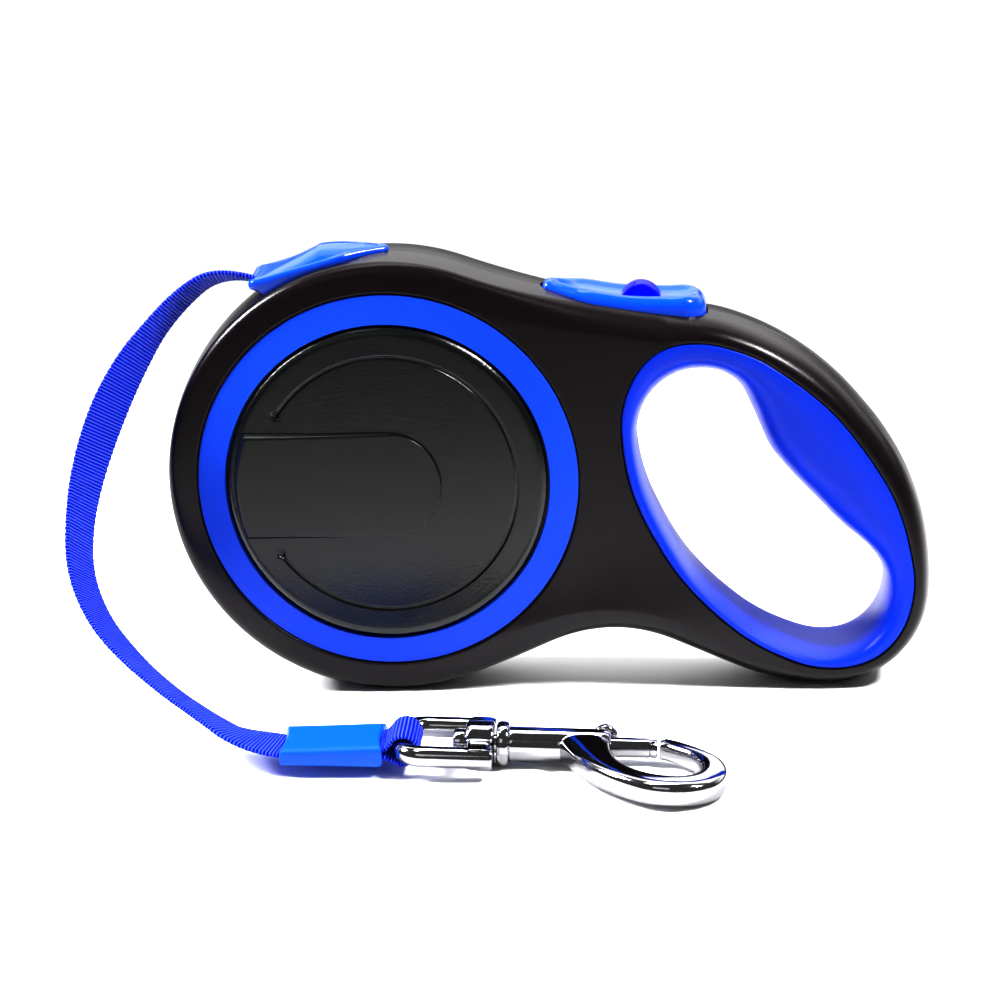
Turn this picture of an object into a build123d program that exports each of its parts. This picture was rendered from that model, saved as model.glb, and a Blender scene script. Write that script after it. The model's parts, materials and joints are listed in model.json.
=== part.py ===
from build123d import *
import math
import os

# Retractable leash with a 13 mm tape: drum housing with a handle, tape reel, brake and swivel snap hook.
# +X runs from the drum to the handle, -Y is the front, +Z is up. Millimetres. The origin is on the
# surface that the housing stands on, under the middle of the housing.

# ---- driving dimensions -------------------------------------------------------------------------
DRUM_X, DRUM_Z, DRUM_R = -36.4, 51.1, 51.1      # drum centre and outside radius
BODY_HALF = 13.0                                # half thickness at the flat front and back faces
BAND_ACROSS, BAND_DEEP = 6.8, 3.5               # sloping band between the crown and the faces
RING_OUT, RING_IN = 43.4, 36.9                  # coloured trim ring radii
RING_RISE = 1.6                                 # the ring is conical and rises this much inward
RECESS_Y = 12.0                                 # floor of the ring and cap recess
CAP_R, CAP_EDGE_Y, CAP_DOME = 36.4, 15.3, 0.5
PLATEAU_HALF, PLATEAU_Y = 12.6, 16.9            # raised tongue on each cap
CAVITY_R, CAVITY_HALF = 46.6, 10.6              # space for the reel

# Housing outline after the drum: corner x, z and corner radius, from under the drum to the shoulder.
DRUM_LEAVE, DRUM_MEET = -68.0, 70.0             # angles where the outline leaves and meets the drum
OUTLINE_CORNERS = [
    (14.3, 16.4, 36.0), (51.5, 0.0, 48.0), (87.55, 0.0, 23.4), (87.55, 46.9, 60.0),
    (60.0, 79.7, 64.0), (39.4, 87.2, 36.0), (-4.0, 93.69, 150.0),
]
# Edge of the hand grip in the housing's face, and the hand hole through it: x, z and corner radius.
SEAM_CORNERS = [
    (16.6, 82.2, 14.0), (40.8, 82.6, 14.0), (63.7, 68.8, 40.0), (83.4, 39.3, 24.0),
    (83.4, 4.5, 19.0), (55.2, 4.5, 20.0), (35.0, 19.9, 40.0), (23.0, 36.6, 40.0),
    (16.6, 55.3, 40.0),
]
HOLE_CORNERS = [
    (19.7, 74.3, 11.5), (43.4, 75.4, 8.5), (49.6, 56.5, 14.0), (62.0, 42.3, 40.0),
    (76.6, 30.0, 8.5), (76.6, 8.7, 12.5), (55.1, 8.7, 16.0), (38.8, 20.4, 30.0),
    (29.3, 30.9, 30.0), (19.7, 52.5, 30.0),
]
MOUTH_BEVEL = 1.5                               # bevel round both mouths of the hand hole
CAP_PEG_R, CAP_PEG_CIRCLE = 1.5, 24.0           # three pegs that hold each cap
ARC_R, ARC_HALF, ARC_DEPTH, ARC_END_ANGLE = 29.6, 0.3, 0.2, 34.0    # engraved arc on each cap

REEL_FLANGE_R, REEL_HUB_R, HUB_WALL = 44.0, 20.0, 2.0
REEL_HALF, FLANGE_T = 8.4, 1.4
TAPE_W, TAPE_T, PACK_R = 13.0, 0.9, 38.5        # tape width, thickness and wound radius
NOTCHES, NOTCH_W, NOTCH_DEPTH, NOTCH_ANGLE = 24, 5.4, 2.6, 22.7
AXLE_R, ARBOR_R, RUN_GAP = 3.0, 5.5, 0.05
SPRING_W, SPRING_T, SPRING_TURNS = 10.0, 0.5, 9
SPRING_IN, SPRING_OUT = 6.4, 17.4

BUTTON_HALF, BUTTON_GAP = 8.0, 0.35
BUTTON_PLAN = [(-0.6, -1.4, 1.2), (9.0, -8.0, 9.0), (36.4, -8.0, 3.2),
               (36.4, 8.0, 3.2), (9.0, 8.0, 9.0), (-0.6, 1.4, 1.2)]
BUTTON_TOP = [(-0.6, 94.6), (8.0, 94.2), (17.0, 92.7), (27.0, 92.2), (33.0, 92.2), (36.4, 91.0)]
WELL_FLOOR = 83.6
PIVOT_X, PIVOT_Z, PIVOT_R = 4.4, 89.6, 1.5      # brake pivot pin
NUB_X, NUB_Z, NUB_R, NUB_HALF, NUB_TRAVEL = 21.3, 90.3, 4.6, 2.8, 3.0

NOZZLE_PLAN = [(-69.0, -8.5, 1.0), (-47.0, -8.5, 10.0), (-34.0, -1.8, 1.6),
               (-34.0, 1.8, 1.6), (-47.0, 8.5, 10.0), (-69.0, 8.5, 1.0)]
NOZZLE_SIDE = [(-66.9, 93.7), (-65.9, 97.4), (-51.2, 103.7), (-44.0, 103.9), (-33.5, 102.4),
               (-33.5, 100.6), (-47.0, 98.6), (-58.0, 93.4), (-63.5, 91.6)]
EXIT_X, EXIT_Z = -66.4, 95.7                    # middle of the tape where it leaves the nozzle
GUIDE_X, GUIDE_R = -59.6, 1.4                   # guide pins above and below the tape

SCREWS = [(2.5, 82.5), (13.0, 40.5), (9.5, 23.0), (44.6, 7.6)]   # housing screws, x and z
SCREW_R, SCREW_HEAD_R = 1.25, 2.3

SLEEVE_X0, SLEEVE_X1, SLEEVE_Z = -57.2, -34.8, 4.8
SLEEVE_W, SLEEVE_H0, SLEEVE_H1 = 16.4, 4.2, 5.4
HOOK_X, HOOK_Y, HOOK_Z, HOOK_TILT = -13.9, -59.6, 5.1, 2.2       # middle of the swivel
EYE_BACK, EYE_HALF, EYE_R = 16.5, 9.3, 2.3      # eye loop: reach, half width, bar radius
COLLAR_R, SHANK_R, GATE_R = 4.9, 3.9, 2.15
HOOK_HALF, HOOK_BEVEL = 2.9, 0.9                # half thickness of the bow and its edge bevel
GATE_TRAVEL = 5.5

# Outline of the hook's bow: reach along the swivel axis, offset across it and corner radius.
HOOK_OUTER = [(17.0, -3.6, 6.0), (25.0, -18.5, 14.0), (36.6, -28.4, 12.0), (49.5, -27.2, 8.9),
              (54.4, -15.0, 13.9), (47.0, -2.2, 10.0), (38.7, 2.6, 1.4)]
HOOK_INNER = [(38.7, -2.4, 1.4), (44.6, -4.6, 4.0), (48.0, -12.5, 6.0), (44.5, -22.0, 5.5),
              (35.0, -20.4, 9.1), (28.6, -9.0, 5.0), (28.6, 3.4, 1.2), (17.0, 3.6, 1.2)]

# Middle line of the free tape: out of the nozzle, round to the left and forward.
TAPE_ROUTE = [
    (-66.5, 0.0, 95.9), (-74.6, -0.4, 98.0), (-84.0, -1.9, 91.6), (-92.9, -5.6, 81.1),
    (-99.6, -10.1, 69.2), (-104.1, -15.2, 56.7), (-106.1, -21.0, 45.8), (-105.6, -27.9, 35.4),
    (-101.1, -35.0, 26.9), (-93.6, -42.2, 20.2), (-84.0, -48.6, 14.0), (-74.4, -54.0, 9.4),
    (-66.0, -58.8, 5.9), (-57.4, -60.1, 4.9),
]
TAPE_TUBE_R = 1.6


# ---- helpers ------------------------------------------------------------------------------------
def rounded(corners):
    """Closed flat outline with rounded corners, given as (a, b, radius)."""
    points = [(a, b) for a, b, _ in corners]
    return make_face(FilletPolyline(*points, radius=[c[2] for c in corners], close=True))


def polygon(points):
    return make_face(Polyline(*points, close=True))


def prism(outline, y_low, y_high):
    """Solid of an XZ outline between two depths in Y."""
    return extrude(Plane.XZ.offset(-y_high) * outline, amount=y_high - y_low)


def standing(outline, z_low, z_high):
    """Solid of an XY outline between two heights."""
    return extrude(Plane.XY.offset(z_low) * outline, amount=z_high - z_low)


def turned(points, side=1):
    """Solid of revolution about the drum's axis, from (radius, depth) points; side -1 is the front."""
    section = polygon([(r, side * y) for r, y in points])
    return Pos(DRUM_X, 0, DRUM_Z) * revolve(section, Axis.Y)


def rod(x, z, radius, y_low, y_high):
    """Round bar along Y."""
    return prism(Pos(x, z) * Circle(radius), y_low, y_high)


def save(name, shape):
    parts = shape if isinstance(shape, list) else list(shape.solids())
    parts = [s for p in parts for s in p.solids()]
    item = Compound(label=name, children=parts) if len(parts) > 1 else parts[0]
    export_step(item, f"parts/{name}.step")


# ---- housing ------------------------------------------------------------------------------------
def drum_point(angle):
    a = math.radians(angle)
    return DRUM_X + DRUM_R * math.cos(a), DRUM_Z + DRUM_R * math.sin(a)


def housing_outline():
    leave, meet = drum_point(DRUM_LEAVE), drum_point(DRUM_MEET)
    handle = FilletPolyline(leave, *[c[:2] for c in OUTLINE_CORNERS], meet,
                            radius=[c[2] for c in OUTLINE_CORNERS])
    drum = CenterArc((DRUM_X, DRUM_Z), DRUM_R, DRUM_MEET, 360 + DRUM_LEAVE - DRUM_MEET)
    return make_face(Wire(handle.edges() + drum.edges()))


def housing_form(side):
    """Half of the whole housing as a full solid, before anything is cut from it."""
    y_low, y_high = sorted((0, side * BODY_HALF))
    half = prism(housing_outline(), y_low, y_high)
    face = half.faces().sort_by(Axis.Y)[-1 if side > 0 else 0]
    return chamfer(face.outer_wire().edges(), BAND_ACROSS, BAND_DEEP, reference=face)


def ring_recess(side):
    floor = side * RECESS_Y
    outside = side * (BODY_HALF + 5)
    return rod(DRUM_X, DRUM_Z, RING_OUT + 0.2, min(floor, outside), max(floor, outside))


def reel_cavity(side):
    slope = 2.4
    return turned([(0, 0), (CAVITY_R, 0), (CAVITY_R, CAVITY_HALF - slope),
                   (CAVITY_R - slope, CAVITY_HALF), (0, CAVITY_HALF)], side)


def button_outline(gap=0.0):
    corners = rounded(BUTTON_PLAN)
    return offset(corners, gap) if gap else corners


def button_well():
    """Room for the brake button, its pivot lug, its swing and its arm, open at the crown."""
    well = standing(button_outline(BUTTON_GAP), 86.9, 110)
    swing = standing(button_outline(BUTTON_GAP), WELL_FLOOR, 88)
    swing &= Pos(28, 0, 86) * Box(40, 20, 10)
    lug = prism(polygon([(-0.4, 95), (9.0, 95), (9.0, 86.6), (-0.4, 86.6)]), -3.9, 3.9)
    arm = prism(polygon([(8.2, 90.3), (14.6, 90.3), (17.5, 84.6), (14.6, 80.0), (14.6, 64.0),
                         (3.0, 64.0), (3.0, 76.0), (7.0, 80.0), (8.2, 84.0)]), -8.8, -5.8)
    return well + swing + lug + arm


def nozzle_body():
    return standing(rounded(NOZZLE_PLAN), 88, 108) & prism(polygon(NOZZLE_SIDE), -9, 9)


def tape_nozzle():
    nozzle = nozzle_body() - lead_strip(TAPE_W + 1.2, TAPE_T + 1.2, 12.0)
    for pin in guide_pins():
        nozzle -= pin
    return nozzle


def tape_entry():
    """Start of the wound tape's last turn: where the straight lead touches the wound pack."""
    dx, dz = EXIT_X - DRUM_X, EXIT_Z - DRUM_Z
    reach = math.hypot(dx, dz)
    touch = PACK_R + TAPE_T
    angle = math.atan2(dz, dx) - math.acos(touch / reach)
    return DRUM_X + touch * math.cos(angle), DRUM_Z + touch * math.sin(angle)


def lead_strip(width, thickness, overrun=0.0):
    """Flat strip from the wound pack to the mouth of the nozzle."""
    x, z = tape_entry()
    length = math.hypot(EXIT_X - x, EXIT_Z - z)
    tilt = math.degrees(math.atan2(EXIT_Z - z, x - EXIT_X))
    strip = Pos((length + overrun) / -2, 0, 0) * Box(length + overrun, width, thickness)
    return Pos(x, 0, z) * Rot(0, tilt, 0) * strip


def lead_height(x):
    x0, z0 = tape_entry()
    return z0 + (EXIT_Z - z0) * (x0 - x) / (x0 - EXIT_X)


def guide_pins():
    step = TAPE_T / 2 + GUIDE_R + 0.25
    height = lead_height(GUIDE_X)
    return [rod(GUIDE_X, height + s * step, GUIDE_R, -8.0, 8.0) for s in (-1, 1)]


def seam_prism(y_low, y_high):
    return prism(rounded(SEAM_CORNERS), y_low, y_high)


def cap_peg_places():
    return [(DRUM_X + CAP_PEG_CIRCLE * math.cos(a), DRUM_Z + CAP_PEG_CIRCLE * math.sin(a))
            for a in (math.radians(d) for d in (30, 150, 270))]


def housing_half(side):
    half = housing_form(side) - reel_cavity(side) - ring_recess(side)
    half += turned([(0, 9.0), (7.5, 9.0), (7.5, CAVITY_HALF + 0.2), (0, CAVITY_HALF + 0.2)], side)
    half -= seam_prism(-20, 20)
    half -= button_well()
    half -= nozzle_body()
    half -= lead_strip(TAPE_W + 1.4, TAPE_T + 3.6, 12.0)
    for pin in guide_pins():
        half -= pin
    half -= rod(PIVOT_X, PIVOT_Z, PIVOT_R, -9.2, 9.2)
    half -= rod(DRUM_X, DRUM_Z, AXLE_R, -11.4, 20)
    for x, z in cap_peg_places():
        half -= rod(x, z, CAP_PEG_R, min(side * 11.0, side * 20), max(side * 11.0, side * 20))
    for x, z in SCREWS:
        half -= rod(x, z, SCREW_R, -7.0, 20)
        half -= rod(x, z, SCREW_HEAD_R + 0.3, BODY_HALF - 3.2, 20)
    return half


def front_shell():
    return housing_half(-1)


def back_shell():
    return housing_half(1)


def grip_liner():
    """Soft grip that fills the housing inside its seam, with the hand hole through it."""
    grip = (housing_form(-1) + housing_form(1)) & seam_prism(-20, 20)
    grip -= prism(rounded(HOLE_CORNERS), -20, 20)
    for end in (0, -1):
        face = grip.faces().filter_by(Axis.Y).sort_by(Axis.Y)[end]
        grip = chamfer(face.inner_wires()[0].edges(), MOUTH_BEVEL)
    return grip


# ---- drum side pieces ---------------------------------------------------------------------------
def trim_ring(side):
    return turned([(RING_IN, RECESS_Y), (RING_OUT, RECESS_Y), (RING_OUT, BODY_HALF - 0.1),
                   (RING_IN, BODY_HALF + RING_RISE)], side)


def cap(side):
    """Disc inside the ring, with a raised tongue, an engraved arc and three pegs behind it."""
    rim, bevel = CAP_R, 1.4
    disc = turned([(0, RECESS_Y), (rim, RECESS_Y), (rim, BODY_HALF + RING_RISE - 0.3),
                   (rim - 0.6, BODY_HALF + RING_RISE), (rim - bevel, CAP_EDGE_Y),
                   (rim * 0.5, CAP_EDGE_Y + CAP_DOME * 0.7), (0, CAP_EDGE_Y + CAP_DOME)], side)
    start, stop = side * RECESS_Y, side * PLATEAU_Y
    tongue_flat = Pos(DRUM_X, DRUM_Z) * (Circle(PLATEAU_HALF)
                                         + Pos(-25, 0) * Rectangle(50, 2 * PLATEAU_HALF))
    tongue = prism(tongue_flat, min(start, stop), max(start, stop))
    top = tongue.faces().sort_by(Axis.Y)[-1 if side > 0 else 0]
    tongue = chamfer(top.edges(), 1.0)
    disc += tongue & turned([(0, RECESS_Y), (rim - bevel, RECESS_Y), (rim - bevel, 20), (0, 20)], side)
    groove_y = CAP_EDGE_Y - ARC_DEPTH
    arc = turned([(ARC_R - ARC_HALF, groove_y), (ARC_R + ARC_HALF, groove_y),
                  (ARC_R + ARC_HALF, 20), (ARC_R - ARC_HALF, 20)], side)
    gap = prism(Pos(DRUM_X - 40, DRUM_Z) * Rectangle(80, 34), -20, 20)
    disc -= arc - gap
    for sign in (-1, 1):
        a = math.radians(180 - sign * ARC_END_ANGLE)
        x, z = DRUM_X + ARC_R * math.cos(a), DRUM_Z + ARC_R * math.sin(a)
        disc -= rod(x, z, 0.8, min(side * groove_y, side * 20), max(side * groove_y, side * 20))
    for x, z in cap_peg_places():
        disc += rod(x, z, CAP_PEG_R, min(side * 11.1, side * 13), max(side * 11.1, side * 13))
    disc -= rod(DRUM_X, DRUM_Z, 5.5, min(0, side * 13.8), max(0, side * 13.8))
    return disc


# ---- reel ---------------------------------------------------------------------------------------
def reel():
    """Hub, back flange and web in one piece, with a seat for the bush."""
    body = turned([(REEL_HUB_R - HUB_WALL, -REEL_HALF), (REEL_HUB_R, -REEL_HALF),
                   (REEL_HUB_R, REEL_HALF - FLANGE_T), (REEL_FLANGE_R, REEL_HALF - FLANGE_T),
                   (REEL_FLANGE_R, REEL_HALF), (7.2, REEL_HALF), (7.2, REEL_HALF - FLANGE_T),
                   (REEL_HUB_R - HUB_WALL, REEL_HALF - FLANGE_T)])
    return body - rod(DRUM_X, DRUM_Z + REEL_HUB_R - 1.0, 0.7, -7.0, 7.0)


def ratchet_flange():
    """Front flange, notched round its rim for the brake arm."""
    flange = turned([(REEL_HUB_R, -REEL_HALF), (REEL_FLANGE_R, -REEL_HALF),
                     (REEL_FLANGE_R, -REEL_HALF + FLANGE_T), (REEL_HUB_R, -REEL_HALF + FLANGE_T)])
    notch = Pos(REEL_FLANGE_R, 0) * Rectangle(2 * NOTCH_DEPTH, NOTCH_W)
    notches = [Rot(0, 0, NOTCH_ANGLE + i * 360 / NOTCHES) * notch for i in range(NOTCHES)]
    return flange - prism(Pos(DRUM_X, DRUM_Z) * Sketch(children=notches), -10, -6)


def spring_cover():
    return turned([(7.2, -REEL_HALF), (REEL_HUB_R - HUB_WALL, -REEL_HALF),
                   (REEL_HUB_R - HUB_WALL, -REEL_HALF + FLANGE_T), (7.2, -REEL_HALF + FLANGE_T)])


def bushes():
    bore = ARBOR_R + RUN_GAP
    return [turned([(bore, y), (7.2, y), (7.2, y + FLANGE_T), (bore, y + FLANGE_T)])
            for y in (-REEL_HALF, REEL_HALF - FLANGE_T)]


def thrust_washers():
    bore = ARBOR_R + RUN_GAP
    return [turned([(bore, y), (7.2, y), (7.2, y + 0.4), (bore, y + 0.4)]) for y in (-8.9, 8.5)]


def wound_tape():
    half = TAPE_W / 2
    return turned([(REEL_HUB_R, -half), (PACK_R, -half), (PACK_R, half), (REEL_HUB_R, half)])


def anchor_pin():
    return rod(DRUM_X, DRUM_Z + REEL_HUB_R - 1.0, 0.7, -7.0, 7.0)


def reel_spring():
    """Flat spiral spring inside the hub, drawn as joined half circles."""
    steps = 2 * SPRING_TURNS
    pitch = (SPRING_OUT - SPRING_IN) / steps
    line = []
    x, radius = SPRING_IN, SPRING_IN
    for i in range(steps):
        sign = 1 if i % 2 == 0 else -1
        far = x - sign * (2 * radius + pitch)
        line.append(ThreePointArc((x, 0), ((x + far) / 2, sign * abs(x - far) / 2), (far, 0)))
        x, radius = far, radius + pitch
    band = offset(Wire(line), SPRING_T / 2, side=Side.BOTH)
    return prism(Pos(DRUM_X, DRUM_Z) * make_face(band), -SPRING_W / 2, SPRING_W / 2)


def spring_arbor():
    """Slotted sleeve on the axle that holds the spring's inner end."""
    sleeve = turned([(AXLE_R, -8.9), (ARBOR_R, -8.9), (ARBOR_R, 8.9), (AXLE_R, 8.9)])
    return sleeve - Pos(DRUM_X + 4.4, 0, DRUM_Z) * Box(2.4, SPRING_W + 0.6, 0.8)


def axle():
    return rod(DRUM_X, DRUM_Z, AXLE_R, -11.4, 11.8) - rod(DRUM_X, DRUM_Z, 1.25, 3.0, 12)


def axle_screw():
    shank = rod(DRUM_X, DRUM_Z, 1.2, 4.0, 12.9)
    head = rod(DRUM_X, DRUM_Z, 2.6, 12.7, 13.7)
    slot = Pos(DRUM_X, 13.6, DRUM_Z) * (Box(3.6, 1.0, 0.7) + Box(0.7, 1.0, 3.6))
    return shank + head - slot


def axle_washer():
    return turned([(1.3, 12.0), (4.6, 12.0), (4.6, 12.7), (1.3, 12.7)])


def tape_lead():
    return lead_strip(TAPE_W, TAPE_T)


# ---- brake --------------------------------------------------------------------------------------
def brake_button():
    """Saddle-shaped thumb button with a rounded lip, a dish along its top and a pivot lug."""
    top = Spline(*BUTTON_TOP)
    side = make_face(Wire([top, *Polyline(BUTTON_TOP[-1], (36.4, 87.0), (16.0, 88.4), (2.0, 91.2),
                                          (-0.6, 92.4), BUTTON_TOP[0]).edges()]))
    block = standing(button_outline(), 84, 100) & prism(side, -9, 9)
    dish = Pos(21.0, 0, 92.4 + 34.0) * Rot(90, 0, 0) * Cylinder(34.8, 10.4)
    block -= dish & prism(polygon([(9, 80), (34, 80), (34, 110), (9, 110)]), -5.2, 5.2)
    lug = prism(Pos(PIVOT_X, PIVOT_Z) * Circle(2.7) + polygon([(1.7, 89.6), (7.1, 89.6), (9.0, 91.6),
                                                               (1.0, 92.4)]), -3.5, 3.5)
    block += lug
    block -= rod(PIVOT_X, PIVOT_Z, PIVOT_R + RUN_GAP, -9, 9)
    slot = (NUB_X - NUB_R - 0.3, NUB_X + NUB_R + NUB_TRAVEL + 0.3)
    block -= prism(polygon([(slot[0], 80), (slot[1], 80), (slot[1], 110), (slot[0], 110)]),
                   -NUB_HALF - 0.3, NUB_HALF + 0.3)
    block -= Pos(NUB_X + NUB_TRAVEL / 2, 0, 85) * Box(13.0 + NUB_TRAVEL, 10.2, 10.0)
    return block


def brake_arm():
    """Arm under the button whose tip swings into a notch of the ratchet flange."""
    return prism(polygon([(9.6, 89.68), (14.0, 88.8), (13.4, 72.0), (9.0, 65.2), (5.4, 66.3),
                          (5.4, 68.7), (8.0, 70.4), (9.6, 75.0)]), -8.2, -6.4)


def lock_nub():
    """Half-round slider on the button, on a base plate that runs in a pocket under its top."""
    nub = prism((Pos(NUB_X, NUB_Z) * Circle(NUB_R)) & (Pos(NUB_X, 92.7) * Rectangle(20, 6.0)),
                -NUB_HALF, NUB_HALF)
    return nub + Pos(NUB_X, 0, 89.1) * Box(12.4, 9.6, 1.2)


def pivot_pin():
    return rod(PIVOT_X, PIVOT_Z, PIVOT_R, -9.2, 9.2)


def button_spring():
    """Folded leaf spring between the floor of the well and the free end of the button."""
    return prism(polygon([(34.4, 83.65), (22.0, 83.65), (21.6, 84.1), (33.4, 86.9), (33.9, 86.7),
                          (23.8, 84.1), (34.4, 84.05)]), -2.5, 2.5)


# ---- tape end and hook --------------------------------------------------------------------------
def free_tape():
    """Free tape as a round bar along its middle line: straight runs joined by tangent arcs."""
    points = [Vector(*p) for p in TAPE_ROUTE]
    radii = []
    for before, at, after in zip(points, points[1:], points[2:]):
        turn = (at - before).get_angle(after - at)
        run = min((at - before).length, (after - at).length)
        radii.append(0.45 * run / math.tan(math.radians(turn / 2)))
    path = FilletPolyline(*points, radius=radii)
    start = Plane(origin=points[0], z_dir=points[1] - points[0])
    tube = sweep(start * Circle(TAPE_TUBE_R), path=path)
    section = math.pi * TAPE_TUBE_R**2
    print("tape radii", [round(r) for r in radii], "length", round(path.length, 1))
    print("tape volume over section times length", round(tube.volume / (section * path.length), 4))
    return tube


def tape_sleeve():
    """Moulded sleeve over the two plies beside the hook, thicker towards the hook."""
    x0, x1, z = SLEEVE_X0, SLEEVE_X1, SLEEVE_Z
    side = polygon([(x0, z - SLEEVE_H0 / 2), (x1, z - SLEEVE_H1 / 2), (x1, z + SLEEVE_H1 / 2),
                    (x0, z + SLEEVE_H0 / 2)])
    body = prism(side, HOOK_Y - SLEEVE_W / 2, HOOK_Y + SLEEVE_W / 2)
    body = fillet(body.edges().filter_by(lambda e: abs(e.tangent_at(0.5).X) > 0.9), 0.8)
    bore = prism(polygon([(x0 - 1, z - 1.0), (x1 + 1, z - 1.0), (x1 + 1, z + 1.0), (x0 - 1, z + 1.0)]),
                 HOOK_Y - TAPE_W / 2 - 0.1, HOOK_Y + TAPE_W / 2 + 0.1)
    return body - bore


def tape_end_loop():
    """Tape folded round the eye of the hook, both plies running back into the sleeve."""
    bar_x, bar_z = eye_bar()
    inner = EYE_R + 0.3
    outer = inner + TAPE_T
    tail = SLEEVE_X0 + 0.6
    half = TAPE_W / 2
    round_out = Pos(bar_x, bar_z) * Circle(outer)
    neck_x = SLEEVE_X1 + 0.2
    neck = polygon([(tail, SLEEVE_Z - TAPE_T), (neck_x, SLEEVE_Z - TAPE_T),
                    (bar_x - outer * 0.55, bar_z - outer * 0.835),
                    (bar_x - outer * 0.55, bar_z + outer * 0.835),
                    (neck_x, SLEEVE_Z + TAPE_T), (tail, SLEEVE_Z + TAPE_T)])
    void = Pos(bar_x, bar_z) * Circle(inner) + polygon([
        (neck_x + 0.8, SLEEVE_Z), (bar_x - inner * 0.6, bar_z - inner * 0.8),
        (bar_x - inner * 0.6, bar_z + inner * 0.8)])
    return prism(round_out + neck - void, HOOK_Y - half, HOOK_Y + half)


def hook_place():
    return Pos(HOOK_X, HOOK_Y, HOOK_Z) * Rot(0, HOOK_TILT, 0)


def eye_bar():
    a = math.radians(HOOK_TILT)
    return HOOK_X - EYE_BACK * math.cos(a), HOOK_Z + EYE_BACK * math.sin(a)


def hook_eye():
    """Eye loop with its cross bar and swivel hub; local X is the swivel axis."""
    path = FilletPolyline((0, -EYE_HALF, 0), (-EYE_BACK, -EYE_HALF, 0), (-EYE_BACK, EYE_HALF, 0),
                          (0, EYE_HALF, 0), radius=[3.6, 3.6])
    start = Plane(origin=(0, -EYE_HALF, 0), z_dir=(-1, 0, 0))
    loop = sweep(start * Circle(EYE_R), path=path)
    cross = Rot(90, 0, 0) * Cylinder(2.7, 2 * EYE_HALF + 1.0)
    eye = loop + cross + spool(-3.0, 3.0, 4.8) - spool(-8.0, 8.0, 2.05)
    return hook_place() * eye


def spool(start, stop, radius):
    return Pos((start + stop) / 2, 0, 0) * Rot(0, 90, 0) * Cylinder(radius, stop - start)


def hook_body():
    """Snap hook: swivel pin with its riveted head, collar, shank with the bolt's bore, and bow."""
    bow = extrude(rounded(HOOK_OUTER + HOOK_INNER), HOOK_HALF, both=True)
    for end in (0, -1):
        face = bow.faces().filter_by(Axis.Z).sort_by(Axis.Z)[end]
        bow = chamfer(face.edges(), HOOK_BEVEL)
    body = bow + spool(6.4, 28.5, SHANK_R) + spool(3.4, 6.4, COLLAR_R)
    body += spool(-3.4, 3.6, 2.0) + spool(-5.8, -3.3, 3.0)
    body -= spool(8.0, 30.0, GATE_R + RUN_GAP)
    body -= Pos(24.0, 4.0, 0) * Box(10.4, 6.0, 2.6)
    return hook_place() * body


def hook_gate():
    """Sliding bolt that closes the hook, with its thumb knob."""
    bolt = spool(17.0, 38.4, GATE_R)
    stem = Pos(27.0, 2.8, 0) * Box(2.6, 5.6, 2.2)
    knob = Pos(27.0, 6.6, 0) * Rot(90, 0, 0) * Cylinder(2.8, 3.0)
    knob = fillet(knob.edges().sort_by(Axis.Y)[-1], 1.2)
    return hook_place() * (bolt + stem + knob)


def gate_spring():
    """Coil spring behind the bolt."""
    radius, wire, turns = 1.55, 0.25, 7
    height = 8.2
    path = Helix(pitch=height / turns, height=height, radius=radius)
    start = Plane(origin=path @ 0, z_dir=path % 0)
    coil = sweep(start * Circle(wire), path=path, is_frenet=True)
    return hook_place() * Pos(8.4, 0, 0) * Rot(0, 90, 0) * coil


# ---- fasteners ----------------------------------------------------------------------------------
def housing_screws():
    screws = []
    for x, z in SCREWS:
        head_y = BODY_HALF - 3.2
        screw = rod(x, z, SCREW_R, -7.0, head_y + 0.2) + rod(x, z, SCREW_HEAD_R, head_y, head_y + 1.6)
        cross = Pos(x, head_y + 1.4, z) * (Box(3.0, 1.2, 0.6) + Box(0.6, 1.2, 3.0))
        screws.append(screw - cross)
    return screws


def main():
    os.makedirs("parts", exist_ok=True)
    nodes = {
        "front_shell": front_shell(), "back_shell": back_shell(), "grip_liner": grip_liner(),
        "front_ring": trim_ring(-1), "back_ring": trim_ring(1),
        "front_cap": cap(-1), "back_cap": cap(1),
        "tape_nozzle": tape_nozzle(), "guide_pins": guide_pins(), "housing_screws": housing_screws(),
        "axle": axle(), "spring_arbor": spring_arbor(), "axle_screw": axle_screw(),
        "axle_washer": axle_washer(), "thrust_washers": thrust_washers(), "tape_lead": tape_lead(),
        "reel": reel(), "ratchet_flange": ratchet_flange(), "spring_cover": spring_cover(),
        "reel_bushes": bushes(), "wound_tape": wound_tape(), "tape_anchor_pin": anchor_pin(),
        "reel_spring": reel_spring(),
        "brake_button": brake_button(), "brake_arm": brake_arm(), "lock_nub": lock_nub(),
        "brake_pivot_pin": pivot_pin(), "button_spring": button_spring(),
        "free_tape": free_tape(), "tape_sleeve": tape_sleeve(), "tape_end_loop": tape_end_loop(),
        "hook_eye": hook_eye(), "hook_body": hook_body(), "hook_gate": hook_gate(),
        "gate_spring": gate_spring(),
    }
    for name, shape in nodes.items():
        save(name, shape)


main()
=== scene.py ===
import json
import math

import bmesh
import bpy
from mathutils import Matrix, Vector, geometry

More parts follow.
